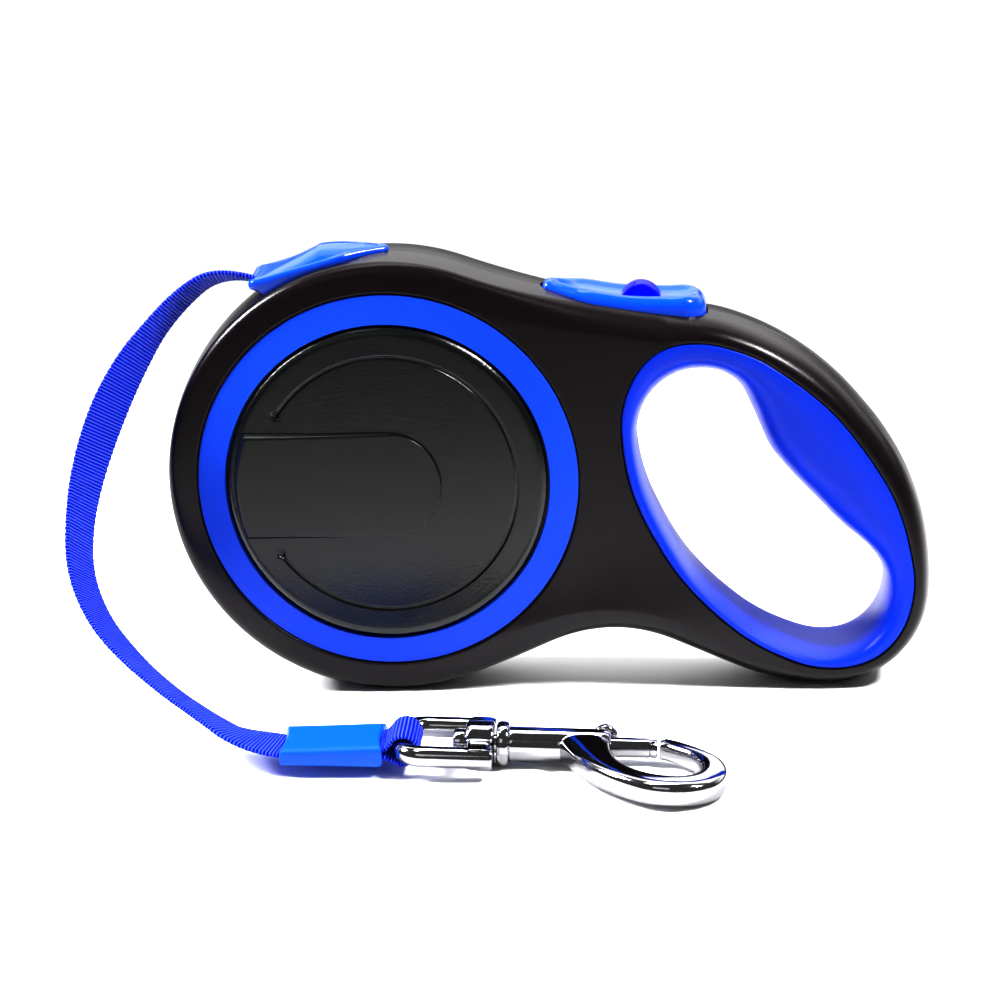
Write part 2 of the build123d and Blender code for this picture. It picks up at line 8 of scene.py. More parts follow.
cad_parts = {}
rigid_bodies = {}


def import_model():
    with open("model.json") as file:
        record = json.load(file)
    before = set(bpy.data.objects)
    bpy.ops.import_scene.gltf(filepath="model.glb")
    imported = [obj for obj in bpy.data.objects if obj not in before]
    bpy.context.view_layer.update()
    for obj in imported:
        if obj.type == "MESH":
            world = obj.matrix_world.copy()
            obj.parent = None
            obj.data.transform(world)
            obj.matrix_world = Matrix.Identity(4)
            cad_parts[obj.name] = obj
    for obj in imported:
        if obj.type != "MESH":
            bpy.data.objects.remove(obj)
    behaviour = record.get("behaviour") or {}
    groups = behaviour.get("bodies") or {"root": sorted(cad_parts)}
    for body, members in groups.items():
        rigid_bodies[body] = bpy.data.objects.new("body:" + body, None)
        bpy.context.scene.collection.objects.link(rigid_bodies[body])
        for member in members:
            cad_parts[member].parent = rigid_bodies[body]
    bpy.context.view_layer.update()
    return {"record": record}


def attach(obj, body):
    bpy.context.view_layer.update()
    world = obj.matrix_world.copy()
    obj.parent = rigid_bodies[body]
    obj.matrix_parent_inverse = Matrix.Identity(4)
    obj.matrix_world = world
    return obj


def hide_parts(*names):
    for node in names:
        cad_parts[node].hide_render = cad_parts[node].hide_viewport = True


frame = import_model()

MM = 0.001

# ---- sizes, in millimetres -----------------------------------------------------------------------
# The housing's outline, ring, cap, screws and tape route repeat the CAD's; the seam, hand hole,
# button and nozzle follow the visible shape more closely than the CAD does.
DRUM_X, DRUM_Z, DRUM_R = -36.4, 51.1, 51.1
FACE_Y = 13.0
DRUM_LEAVE, DRUM_MEET = -68.0, 70.0
OUTLINE_CORNERS = [
    (14.3, 16.4, 36.0), (51.5, 0.0, 48.0), (87.55, 0.0, 23.4), (87.55, 46.9, 60.0),
    (60.0, 79.7, 64.0), (39.4, 87.2, 36.0), (-4.0, 93.69, 150.0),
]
SEAM_THROUGH = [
    (80.2, 41.7), (75.5, 51.5), (67.2, 63.2), (59.9, 70.4), (50.0, 77.6), (43.5, 80.6), (36.0, 82.5),
    (28.1, 81.9), (21.7, 77.6), (17.9, 70.5), (16.7, 62.4), (19.0, 48.0), (26.0, 33.1), (34.1, 22.3),
    (45.0, 12.6), (55.9, 6.9), (62.7, 5.3), (69.9, 5.7), (76.4, 8.8), (80.9, 14.5), (83.1, 21.7),
    (83.2, 29.0),
]
HOLE_THROUGH = [
    (66.4, 38.0), (61.6, 43.1), (56.0, 49.1), (52.7, 53.0), (50.1, 56.8), (46.6, 65.2), (43.4, 71.4),
    (38.1, 74.6), (30.9, 74.3), (25.0, 70.8), (21.3, 65.0), (20.4, 57.4), (23.6, 43.8), (32.6, 26.8),
    (43.3, 16.0), (50.6, 11.3), (60.7, 8.0), (66.3, 8.4), (71.0, 11.0), (74.7, 15.4), (76.6, 20.9),
    (76.4, 27.0), (73.2, 32.0),
]
RING_OUT, RING_IN, RECESS_Y = 43.4, 36.9, 12.0
CAVITY_R, CAVITY_HALF, CAVITY_SLOPE = 46.6, 10.6, 2.4
CAP_R, CAP_EDGE_Y, CAP_DOME = 36.4, 15.3, 0.5
CAP_RIM_R = 34.4                                # where the cap starts to roll over
ARC_R, ARC_END_ANGLE = 29.6, 33.4               # engraved arc, and the angle of its end dots
PLATEAU_HALF, PLATEAU_Y, PLATEAU_REACH = 12.6, 16.9, 34.9
BUTTON_PLAN = [(-0.9, -2.1, 1.6), (9.0, -8.0, 9.0), (36.4, -8.0, 5.6),
               (36.4, 8.0, 5.6), (9.0, 8.0, 9.0), (-0.9, 2.1, 1.6)]
BUTTON_TOP = [(-0.6, 95.2), (8.0, 93.8), (17.0, 92.3), (27.0, 91.8), (33.0, 91.8), (36.4, 90.9)]
BUTTON_GAP, BUTTON_BOTTOM, WELL_FLOOR = 0.35, 87.0, 83.8
NUB_X, NUB_Z, NUB_R, NUB_BOTTOM = 21.6, 89.4, 4.7, 88.6
NOZZLE_PLAN = [(-66.8, -8.5, 1.6), (-47.0, -8.5, 10.0), (-35.8, -0.9, 0.8),
               (-35.8, 0.9, 0.8), (-47.0, 8.5, 10.0), (-66.8, 8.5, 1.6)]
NOZZLE_TOP = [(-67.0, 97.1), (-64.7, 97.5), (-61.6, 98.7), (-55.8, 101.3), (-52.8, 102.8),
              (-51.0, 103.6), (-44.3, 103.9), (-36.0, 103.5)]
NOZZLE_EDGE = [(-67.0, 97.2), (-63.8, 97.8), (-59.6, 99.0), (-52.7, 100.9), (-44.7, 102.9),
               (-36.0, 103.4)]
SCREWS = [(2.5, 82.5), (13.0, 40.5), (9.5, 23.0), (44.6, 7.6)]
SCREW_WELL_R = 2.6
TAPE_ROUTE = [
    (-66.5, 0.0, 95.9), (-74.6, -0.4, 98.0), (-84.0, -1.9, 91.6), (-92.9, -5.6, 81.1),
    (-99.6, -10.1, 69.2), (-104.1, -15.2, 56.7), (-106.1, -21.0, 45.8), (-105.6, -27.9, 35.4),
    (-101.1, -35.0, 26.9), (-93.6, -42.2, 20.2), (-84.0, -48.6, 14.0), (-74.4, -54.0, 9.4),
    (-66.0, -58.8, 5.9), (-57.4, -60.1, 4.9),
]
TAPE_W, TAPE_T, TAPE_LENGTH = 13.0, 1.0, 0.155
SLEEVE_X0, SLEEVE_X1, SLEEVE_Z, SLEEVE_HALF = -57.2, -34.8, 4.8, 8.2
HOOK_AT, HOOK_TILT = (-13.9, -59.6, 5.1), math.radians(2.2)
EYE_BACK, EYE_HALF, EYE_R = 16.5, 9.3, 2.3
SHANK_R, GATE_R, COLLAR_R = 3.9, 2.15, 4.95
FLOOR_HALF = 3.0                                # in metres


# ---- lines --------------------------------------------------------------------------------------
def rounded(corners, closed=True, step=0.6):
    """Points along a polygon whose corners are rounded; corners are (x, z, radius)."""
    out = []
    for i, (x, z, r) in enumerate(corners):
        here = Vector((x, z))
        if not closed and i in (0, len(corners) - 1):
            out.append(here)
            continue
        back = (Vector(corners[i - 1][:2]) - here).normalized()
        ahead = (Vector(corners[(i + 1) % len(corners)][:2]) - here).normalized()
        half = back.angle(ahead) / 2
        centre = here + (back + ahead).normalized() * (r / math.sin(half))
        first = here + back * (r / math.tan(half)) - centre
        last = here + ahead * (r / math.tan(half)) - centre
        start = math.atan2(first.y, first.x)
        sweep = (math.atan2(last.y, last.x) - start + math.pi) % (2 * math.pi) - math.pi
        count = max(3, int(abs(sweep) * r / step))
        out += [centre + Vector((r * math.cos(start + sweep * j / count),
                                 r * math.sin(start + sweep * j / count))) for j in range(count + 1)]
    return out


def even(points, count, closed=True):
    """The same line with evenly spaced points."""
    line = points + [points[0]] if closed else points
    lengths = [0.0]
    for a, b in zip(line, line[1:]):
        lengths.append(lengths[-1] + (b - a).length)
    out, k = [], 0
    for i in range(count):
        at = lengths[-1] * i / (count if closed else count - 1)
        while k < len(line) - 2 and lengths[k + 1] < at:
            k += 1
        span = lengths[k + 1] - lengths[k]
        out.append(line[k].lerp(line[k + 1], (at - lengths[k]) / span if span else 0))
    return out


def relaxed(points, passes):
    for _ in range(passes):
        points = [(points[i - 1] + points[i] * 2 + points[(i + 1) % len(points)]) / 4
                  for i in range(len(points))]
    return points


def loop_of(corners, count, passes=6):
    """Anticlockwise loop through rounded corners, eased without drawing it in."""
    points = even(rounded(corners), count)
    area = sum(a.x * b.y - b.x * a.y for a, b in zip(points, points[1:] + points[:1]))
    eased = relaxed(points if area > 0 else points[::-1], passes)
    return [a * 2 - b for a, b in zip(eased, relaxed(eased, passes))]


def through(points, count):
    """Smooth closed loop through points, evenly spaced."""
    pts = [Vector(p) for p in points]
    line = []
    for i in range(len(pts)):
        a, b, c, d = (pts[(i + k) % len(pts)] for k in (-1, 0, 1, 2))
        for j in range(12):
            t = j / 12
            line.append(0.5 * (2 * b + (c - a) * t + (2 * a - 5 * b + 4 * c - d) * t * t
                               + (3 * b - a - 3 * c + d) * t**3))
    return relaxed(even(line, count), 12)


def inward(points):
    """Unit normals that point into a loop that runs anticlockwise."""
    out = []
    for i in range(len(points)):
        along = (points[(i + 1) % len(points)] - points[i - 1]).normalized()
        out.append(Vector((-along.y, along.x)))
    return out


def inset(points, distance):
    return [p + n * distance for p, n in zip(points, inward(points))]


def circle(radius, count, centre=(DRUM_X, DRUM_Z)):
    return [Vector((centre[0] + radius * math.cos(2 * math.pi * i / count),
                    centre[1] + radius * math.sin(2 * math.pi * i / count))) for i in range(count)]


def ease(low, high, value):
    t = min(1.0, max(0.0, (value - low) / (high - low)))
    return t * t * (3 - 2 * t)


def curve_at(keys, x):
    """Smooth value through (x, value) keys."""
    if x <= keys[0][0]:
        return keys[0][1]
    for i in range(len(keys) - 1):
        (x0, y0), (x1, y1) = keys[i], keys[i + 1]
        if x <= x1:
            before = keys[max(0, i - 1)]
            after = keys[min(len(keys) - 1, i + 2)]
            m0 = (y1 - before[1]) / (x1 - before[0])
            m1 = (after[1] - y0) / (after[0] - x0)
            t, span = (x - x0) / (x1 - x0), x1 - x0
            return ((2 * t**3 - 3 * t**2 + 1) * y0 + (t**3 - 2 * t**2 + t) * m0 * span
                    + (3 * t**2 - 2 * t**3) * y1 + (t**3 - t**2) * m1 * span)
    return keys[-1][1]


# ---- meshes -------------------------------------------------------------------------------------
class Net:
    """Collects rings of points and the faces between them."""

    def __init__(self):
        self.verts, self.faces, self.fills = [], [], []

    def ring(self, points):
        start = len(self.verts)
        self.verts += [tuple(p) for p in points]
        return list(range(start, len(self.verts)))

    def bridge(self, a, b, closed=True):
        last = len(a) if closed else len(a) - 1
        for i in range(last):
            j = (i + 1) % len(a)
            self.faces.append((a[i], a[j], b[j], b[i]))

    def skin(self, rows, closed=True, closed_across=False):
        rings = [self.ring(r) for r in rows]
        for a, b in zip(rings, rings[1:]):
            self.bridge(a, b, closed)
        if closed_across:
            self.bridge(rings[-1], rings[0], closed)
        return rings

    def fan(self, ring, centre):
        middle = self.ring([centre])[0]
        for i in range(len(ring)):
            self.faces.append((ring[i], ring[(i + 1) % len(ring)], middle))

    def fill(self, *rings):
        """Flat face between rings that share one plane of constant Y."""
        loops = [[Vector((self.verts[i][0], self.verts[i][2], 0)) for i in r] for r in rings]
        flat = [i for r in rings for i in r]
        for tri in geometry.tessellate_polygon(loops):
            self.faces.append(tuple(flat[i] for i in tri))

    def cap_ends(self, rings):
        self.faces += [tuple(rings[0]), tuple(reversed(rings[-1]))]

    def mesh(self, name):
        mesh = bpy.data.meshes.new(name)
        mesh.from_pydata([(x * MM, y * MM, z * MM) for x, y, z in self.verts], [], self.faces)
        bm = bmesh.new()
        bm.from_mesh(mesh)
        bmesh.ops.remove_doubles(bm, verts=bm.verts, dist=1e-6)
        bmesh.ops.recalc_face_normals(bm, faces=bm.faces)
        bm.to_mesh(mesh)
        bm.free()
        return mesh


def place(name, mesh, body, material, replaces=(), sharp=40, weighted=True):
    obj = bpy.data.objects.new(name, mesh)
    bpy.context.scene.collection.objects.link(obj)
    mesh.shade_smooth()
    if sharp:
        mesh.set_sharp_from_angle(angle=math.radians(sharp))
    if weighted:
        obj.modifiers.new("normals", "WEIGHTED_NORMAL").keep_sharp = True
    mesh.materials.clear()
    mesh.materials.append(material)
    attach(obj, body)
    if replaces:
        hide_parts(*replaces)
    return obj


def carved(mesh, cutters):
    """The mesh with closed cutter meshes taken out of it."""
    obj = bpy.data.objects.new("carving", mesh)
    bpy.context.scene.collection.objects.link(obj)
    helpers = []
    for cutter in cutters:
        tool = bpy.data.objects.new("tool", cutter)
        bpy.context.scene.collection.objects.link(tool)
        helpers.append(tool)
        step = obj.modifiers.new("cut", "BOOLEAN")
        step.operation, step.solver, step.object = "DIFFERENCE", "EXACT", tool
    return baked(obj, helpers)


def baked(obj, helpers=()):
    """The object's mesh with its modifiers applied; the object and its helpers are removed."""
    bpy.context.view_layer.update()
    result = bpy.data.meshes.new_from_object(obj.evaluated_get(bpy.context.evaluated_depsgraph_get()))
    for spare in (obj, *helpers):
        bpy.data.objects.remove(spare)
    return result


def joined(meshes, name):
    """One mesh that holds several."""
    bm = bmesh.new()
    for mesh in meshes:
        bm.from_mesh(mesh)
    out = bpy.data.meshes.new(name)
    bm.to_mesh(out)
    bm.free()
    return out


def cast(meshes, voxel, passes):
    """Several closed meshes run together, with soft fillets where they meet."""
    obj = bpy.data.objects.new("casting", joined(meshes, "cast"))
    bpy.context.scene.collection.objects.link(obj)
    step = obj.modifiers.new("join", "REMESH")
    step.mode, step.voxel_size, step.use_smooth_shade = "VOXEL", voxel * MM, True
    even_out = obj.modifiers.new("even", "SMOOTH")
    even_out.factor, even_out.iterations = 0.5, passes
    return baked(obj)


def lathe(profile, count=192, closed=False):
    """Closed turned mesh about the drum's axis; profile is (radius, y) from the axis out and back."""
    net = Net()
    rows = [[(p.x, y, p.y) for p in circle(max(r, 0.0), count)] for r, y in profile]
    net.skin(rows, closed_across=closed)
    return net


# ---- materials ----------------------------------------------------------------------------------
def shader(name, color, rough, **sockets):
    material = bpy.data.materials.new(name)
    material.use_nodes = True
    nodes = material.node_tree.nodes
    bsdf = nodes["Principled BSDF"]
    bsdf.inputs["Base Color"].default_value = (*color, 1)
    bsdf.inputs["Roughness"].default_value = rough
    for key, value in sockets.items():
        bsdf.inputs[key.replace("_", " ")].default_value = value
    return material, material.node_tree, bsdf


def node(tree, kind, **values):
    made = tree.nodes.new(kind)
    for key, value in values.items():
        if key in made.inputs:
            made.inputs[key].default_value = value
        else:
            setattr(made, key, value)
    return made


def remap(tree, value, to_low, to_high, from_low=0.0, from_high=1.0, kind="LINEAR"):
    """A Map Range node on value; gives its output."""
    made = node(tree, "ShaderNodeMapRange", interpolation_type=kind)
    numbers = {"From Min": from_low, "From Max": from_high, "To Min": to_low, "To Max": to_high}
    for key, number in numbers.items():
        made.inputs[key].default_value = number
    tree.links.new(value, made.inputs["Value"])
    return made.outputs["Result"]


def product(tree, first, second):
    made = node(tree, "ShaderNodeMath", operation="MULTIPLY")
    tree.links.new(first, made.inputs[0])
    tree.links.new(second, made.inputs[1])
    return made.outputs["Value"]


def moulded(name, color, rough, grain=0.12, grain_scale=2600, spread=0.05, vary=0.12, **sockets):
    """Moulded plastic: fine grain in the relief, cloudy roughness and a slight colour drift."""
    material, tree, bsdf = shader(name, color, rough, **sockets)
    link = tree.links.new
    place_node = node(tree, "ShaderNodeTexCoord")
    fine = node(tree, "ShaderNodeTexNoise", Scale=grain_scale, Detail=3.0, Roughness=0.6)
    cloud = node(tree, "ShaderNodeTexNoise", Scale=38.0, Detail=4.0, Roughness=0.55)
    link(place_node.outputs["Object"], fine.inputs["Vector"])
    link(place_node.outputs["Object"], cloud.inputs["Vector"])
    bump = node(tree, "ShaderNodeBump", Strength=grain, Distance=0.0002)
    link(fine.outputs["Fac"], bump.inputs["Height"])
    link(bump.outputs["Normal"], bsdf.inputs["Normal"])
    link(remap(tree, cloud.outputs["Fac"], rough - spread, rough + spread), bsdf.inputs["Roughness"])
    tint = node(tree, "ShaderNodeMix", data_type="RGBA")
    tint.inputs["A"].default_value = (*[c * (1 - vary) for c in color], 1)
    tint.inputs["B"].default_value = (*[min(1.0, c * (1 + vary)) for c in color], 1)
    link(cloud.outputs["Fac"], tint.inputs["Factor"])
    link(tint.outputs["Result"], bsdf.inputs["Base Color"])
    return material


def woven(name, color, light):
    """Webbing from its UV map, in millimetres: ribs across the tape, twill threads within each; the rib
    crests carry a painted sheen in the base colour.
    """
    material, tree, bsdf = shader(name, color, 0.62, Sheen_Weight=0.06, Sheen_Roughness=0.4,
                                  Specular_IOR_Level=0.06)
    bsdf.inputs["Sheen Tint"].default_value = (*light, 1)
    link = tree.links.new
    uv = node(tree, "ShaderNodeUVMap", uv_map="UVMap")
    ribs = node(tree, "ShaderNodeTexWave", wave_type="BANDS", bands_direction="X")
    ribs.inputs["Scale"].default_value = 0.42
    ribs.inputs["Distortion"].default_value = 0.25
    ribs.inputs["Detail"].default_value = 1.0
    threads = node(tree, "ShaderNodeTexWave", wave_type="BANDS", bands_direction="Y")
    threads.inputs["Scale"].default_value = 0.85
    threads.inputs["Distortion"].default_value = 0.3
    fuzz = node(tree, "ShaderNodeTexNoise", Scale=6.0, Detail=4.0)
    for texture in (ribs, threads, fuzz):
        link(uv.outputs["UV"], texture.inputs["Vector"])
    height = node(tree, "ShaderNodeMath", operation="MULTIPLY_ADD")
    height.inputs[1].default_value = 0.35
    link(threads.outputs["Fac"], height.inputs[0])
    link(ribs.outputs["Fac"], height.inputs[2])
    bump = node(tree, "ShaderNodeBump", Strength=0.75, Distance=0.0003)
    link(height.outputs["Value"], bump.inputs["Height"])
    link(bump.outputs["Normal"], bsdf.inputs["Normal"])
    # Base colour follows the ribs: the crests take the light colour, a painted sheen, the troughs go
    # darker, and the fuzz adds random thread tone.
    ramp = node(tree, "ShaderNodeValToRGB")
    ramp.color_ramp.elements[0].position = 0.25
    ramp.color_ramp.elements[0].color = (*[c * 0.8 for c in color], 1)
    ramp.color_ramp.elements[1].position = 1.0
    ramp.color_ramp.elements[1].color = (*light, 1)
    middle = ramp.color_ramp.elements.new(0.6)
    middle.color = (*color, 1)
    blend = node(tree, "ShaderNodeMath", operation="MULTIPLY_ADD")
    blend.inputs[1].default_value = 0.3
    link(fuzz.outputs["Fac"], blend.inputs[0])
    scaled = node(tree, "ShaderNodeMath", operation="MULTIPLY")
    scaled.inputs[1].default_value = 0.8
    link(ribs.outputs["Fac"], scaled.inputs[0])
    link(scaled.outputs["Value"], blend.inputs[2])
    link(blend.outputs["Value"], ramp.inputs["Fac"])
    link(ramp.outputs["Color"], bsdf.inputs["Base Color"])
    return material


def plated(name, color, rough, wear=0.03):
    """Polished plating: faint smears in the roughness and slight waviness."""
    material, tree, bsdf = shader(name, color, rough, Metallic=1.0)
    link = tree.links.new
    place_node = node(tree, "ShaderNodeTexCoord")
    smear = node(tree, "ShaderNodeTexNoise", Scale=160.0, Detail=5.0, Roughness=0.65)
    link(place_node.outputs["Object"], smear.inputs["Vector"])
    roughness = remap(tree, smear.outputs["Fac"], max(0.02, rough - wear), rough + wear)
    link(roughness, bsdf.inputs["Roughness"])
    bump = node(tree, "ShaderNodeBump", Strength=0.04, Distance=0.0003)
    link(smear.outputs["Fac"], bump.inputs["Height"])
    link(bump.outputs["Normal"], bsdf.inputs["Normal"])
    return material


SHELL = moulded("shell_black", (0.0056, 0.0034, 0.0046), 0.24, grain=0.2, grain_scale=1700,
                Specular_IOR_Level=0.20)
CAP = moulded("cap_black", (0.0030, 0.0036, 0.0036), 0.21, grain=0.3, grain_scale=1300,
              Specular_IOR_Level=0.38)
TRIM = moulded("trim_blue", (0.004, 0.052, 0.56), 0.45, grain=0.05, vary=0.05, Specular_IOR_Level=0.14)
GRIP = moulded("grip_blue", (0.0012, 0.028, 0.46), 0.30, grain=0.06, vary=0.05, Specular_IOR_Level=0.12)
BUTTON = moulded("button_blue", (0.001, 0.058, 0.60), 0.16, grain=0.02, vary=0.05,
                 Specular_IOR_Level=0.4)
# The nub's darker, deeper blue is painted shade: a darker blue than the button's, standing in for the
# shade on its front face.
NUB_SHADED = moulded("nub_blue", (0.0005, 0.002, 0.46), 0.34, grain=0.03, vary=0.05, Specular_IOR_Level=0.1)
SLEEVE = moulded("sleeve_blue", (0.002, 0.085, 0.62), 0.36, grain=0.05, vary=0.06, Specular_IOR_Level=0.2)
# The tape's second colour is both the sheen tint and the painted sheen on its rib crests.
TAPE = woven("tape_blue", (0.0004, 0.0008, 0.46), (0.085, 0.18, 0.95))
CHROME = plated("hook_chrome", (0.50, 0.50, 0.52), 0.08)
STEEL = plated("steel_plain", (0.05, 0.05, 0.055), 0.42, 0.08)
REEL = moulded("reel_grey", (0.25, 0.25, 0.26), 0.5)
BRONZE = plated("bush_bronze", (0.5, 0.33, 0.14), 0.35, 0.08)
for slot_name, finish in {
        "shell_black": SHELL, "cap_grey": CAP, "trim_blue": TRIM, "grip_blue": GRIP,
        "button_blue": BUTTON, "tape_blue": REEL, "sleeve_blue": SLEEVE, "hook_chrome": CHROME,
        "steel": STEEL, "spring_steel": STEEL, "reel_plastic": REEL, "bronze": BRONZE}.items():
    for entry in frame["record"]["subparts"]:
        if entry["material_slot"] == slot_name:
            for cad in bpy.data.objects:
                if cad.name == entry["node"] or cad.name.startswith(entry["node"] + "."):
                    for holder in cad.material_slots:
                        holder.material = finish


# ---- housing ------------------------------------------------------------------------------------
def outline_points(count):
    def on_drum(angle):
        a = math.radians(angle)
        return DRUM_X + DRUM_R * math.cos(a), DRUM_Z + DRUM_R * math.sin(a)
    corners = [(*on_drum(DRUM_LEAVE), 0), *OUTLINE_CORNERS, (*on_drum(DRUM_MEET), 0)]
    points = rounded(corners, closed=False)
    turn = 360 + DRUM_LEAVE - DRUM_MEET
    points += [Vector(on_drum(DRUM_MEET + turn * i / 300)) for i in range(1, 300)]
    return relaxed(even(points, count), 8)


OUTLINE = outline_points(640)
SEAM = through(SEAM_THROUGH, 320)
HOLE = through(HOLE_THROUGH, 640)
SPLIT = [(0.07, 0.0), (0.07, 0.03), (0.01, 0.08), (0.0, 0.2)]


def drum_section():
    """Crown, crisp ridge and nearly flat band beside the ring: depth from the outline, y."""
    rows = [(0.03, 2.4), (0.12, 4.8), (0.28, 7.2), (0.42, 8.8)]
    for j in range(9):
        a = math.radians(5 + 73 * j / 8)
        rows.append((3.1 - 2.6 * math.cos(a), 9.7 + 2.6 * math.sin(a)))
    return rows + [(3.2, 12.42), (4.8, 12.68), (6.2, 12.87), (6.8, 12.94), (7.2, FACE_Y)]


def handle_section(depth):
    """Rounder section of the neck and the handle, with the same number of rows."""
    rows = [(0.03, 1.6), (0.10, 3.0), (0.22, 4.4)]
    steps = len(drum_section()) - len(rows) - 1
    for j in range(steps + 1):
        a = math.radians(14 + 76 * j / steps)
        rows.append((depth - (depth - 0.25) * math.cos(a), 4.6 + 8.4 * math.sin(a)))
    return rows


def housing_rows(side):
    """Rings round the housing from the split line to the flat face."""
    normals = inward(OUTLINE)
    drum = drum_section()
    rows = [[] for _ in range(len(SPLIT) + len(drum))]
    for p, n in zip(OUTLINE, normals):
        share = ease(-14.0, 20.0, p.x)
        room = min((q - p).length for q in SEAM)
        depth = min(6.8, room - 0.6)
        handle = handle_section(depth)
        for k, (d, y) in enumerate(SPLIT):
            rows[k].append((p.x + n.x * d, side * y, p.y + n.y * d))
        for k, ((d0, y0), (d1, y1)) in enumerate(zip(drum, handle)):
            d, y = d0 + (d1 - d0) * share, y0 + (y1 - y0) * share
            rows[k + len(SPLIT)].append((p.x + n.x * d, side * y, p.y + n.y * d))
    return rows


def flat_ring(points, y):
    return [(p.x, y, p.y) for p in points]


def button_prism(gap, low, high):
    plan = inset(loop_of(BUTTON_PLAN, 160, 1), -gap)
    net = Net()
    rings = net.skin([[(p.x, p.y, z) for p in plan] for z in (low, high)])
    net.cap_ends(rings)
    return net.mesh("well")


def bore_cutter(x, z, radius, low, high):
    net = Net()
    rings = net.skin([flat_ring(circle(radius, 40, (x, z)), y) for y in (low, high)])
    net.cap_ends(rings)
    return net.mesh("bore")


def housing_shell(side):
    net = Net()
    rings = net.skin(housing_rows(side))
    recess = net.skin([flat_ring(circle(r, 260), side * y) for r, y in
                       ((44.5, FACE_Y), (44.2, 13.06), (43.9, 12.98), (43.68, 12.75), (43.6, 12.4),
                        (43.6, RECESS_Y))])
    net.fan(recess[-1], (DRUM_X, side * RECESS_Y, DRUM_Z))
    seam = net.skin([flat_ring(inset(SEAM, -d), side * y) for d, y in
                     ((0.30, FACE_Y), (0.10, 12.94), (0.0, 12.76), (0.0, 0.0))])
    net.fill(rings[-1], recess[0], seam[0])
    cavity = net.skin([flat_ring(circle(r, 200), side * y) for r, y in
                       ((CAVITY_R, 0.0), (CAVITY_R, CAVITY_HALF - CAVITY_SLOPE),
                        (CAVITY_R - CAVITY_SLOPE, CAVITY_HALF))])
    net.fan(cavity[-1], (DRUM_X, side * CAVITY_HALF, DRUM_Z))
    net.fill(rings[0], cavity[0], seam[-1])
    tools = [button_prism(BUTTON_GAP, WELL_FLOOR, 120)]
    if side > 0:
        tools += [bore_cutter(x, z, SCREW_WELL_R, 9.8, 20) for x, z in SCREWS]
    return carved(net.mesh("shell"), tools)


for shell_name, shell_side in (("front_shell", -1), ("back_shell", 1)):
    place(shell_name + "_skin", housing_shell(shell_side), "housing", SHELL,
          (shell_name,), sharp=38)


# ---- hand grip ----------------------------------------------------------------------------------
def grip_pairs():
    """For each point of the grip's rim, the place on the hand hole that it rolls in to."""
    rim = inset(SEAM, 1.25)
    count = len(HOLE)
    nearest = [min(range(count), key=lambda k: (HOLE[k] - p).length) for p in rim]
    places = [float(nearest[0])]
    for k in nearest[1:]:
        step = (k - places[-1] + count / 2) % count - count / 2
        places.append(places[-1] + step)
    total = places[-1] + ((nearest[0] - places[-1] + count / 2) % count - count / 2) - places[0]
    size = len(places)
    drift = [p - total * i / size for i, p in enumerate(places)]
    for _ in range(160):
        drift = [(drift[i - 1] + 2 * drift[i] + drift[(i + 1) % size]) / 4 for i in range(size)]
    out = []
    for i, p in enumerate(rim):
        k = drift[i] + total * i / size
        whole = math.floor(k)
        a, b = HOLE[whole % count], HOLE[(whole + 1) % count]
        out.append((p, a.lerp(b, k - whole)))
    return out


def grip_mesh():
    pairs = grip_pairs()
    rows = [flat_ring(inset(SEAM, d), -y) for d, y in
            ((-0.5, 8.0), (0.22, 10.8), (0.22, 12.62), (0.32, 12.86), (0.55, 12.98), (0.85, FACE_Y))]
    steps = 20
    for j in range(steps + 1):
        a = math.radians(90 * j / steps)
        share, y = math.sin(a) ** 0.8, FACE_Y * math.cos(a) ** 0.8
        ring = [p.lerp(q, share) for p, q in pairs]
        rows.append(flat_ring(ring, -y))
    rows += [[(x, -y, z) for x, y, z in row] for row in rows[-2::-1]]
    net = Net()
    net.skin(rows, closed_across=True)
    return net.mesh("grip")


place("grip_liner_skin", grip_mesh(), "housing", GRIP, ("grip_liner",), sharp=60)


# ---- trim rings and caps ------------------------------------------------------------------------
def ring_mesh(side):
    slope = 1.7 / (RING_OUT - RING_IN)
    top = [(r, FACE_Y - 0.1 + (RING_OUT - r) * slope) for r in (43.0, 41.0, 39.0, 37.35)]
    profile = [(43.4, RECESS_Y + 0.02), (43.4, 12.7), (43.33, 12.86), *top, (37.1, 14.58),
               (36.95, 14.45), (36.9, 14.25), (36.9, RECESS_Y + 0.02)]
    return lathe([(r, side * y) for r, y in profile], 256, closed=True).mesh("ring")


def cap_height(r, angle):
    """Domed disc with its rolled rim, the engraved arc and the dot at each of its ends."""
    keys = [(0.0, CAP_EDGE_Y + CAP_DOME), (18.0, CAP_EDGE_Y + 0.37), (32.0, CAP_EDGE_Y + 0.05),
            (CAP_RIM_R, CAP_EDGE_Y)]
    y = curve_at(keys, min(r, CAP_RIM_R))
    if r > CAP_RIM_R:
        y -= ((r - CAP_RIM_R) / 1.9) ** 2.2
    off_left = abs(abs(math.degrees(angle)) - 180)
    edge = ease(ARC_END_ANGLE, ARC_END_ANGLE + 0.8, off_left)
    y -= 0.36 * edge * max(0.0, 1 - (abs(r - ARC_R) / 0.5) ** 2)
    for sign in (-1, 1):
        a = math.radians(180 - sign * ARC_END_ANGLE)
        gap = math.hypot(r * math.cos(angle) - ARC_R * math.cos(a),
                         r * math.sin(angle) - ARC_R * math.sin(a))
        y -= 0.5 * (1 - ease(0.5, 1.1, gap))
    return y


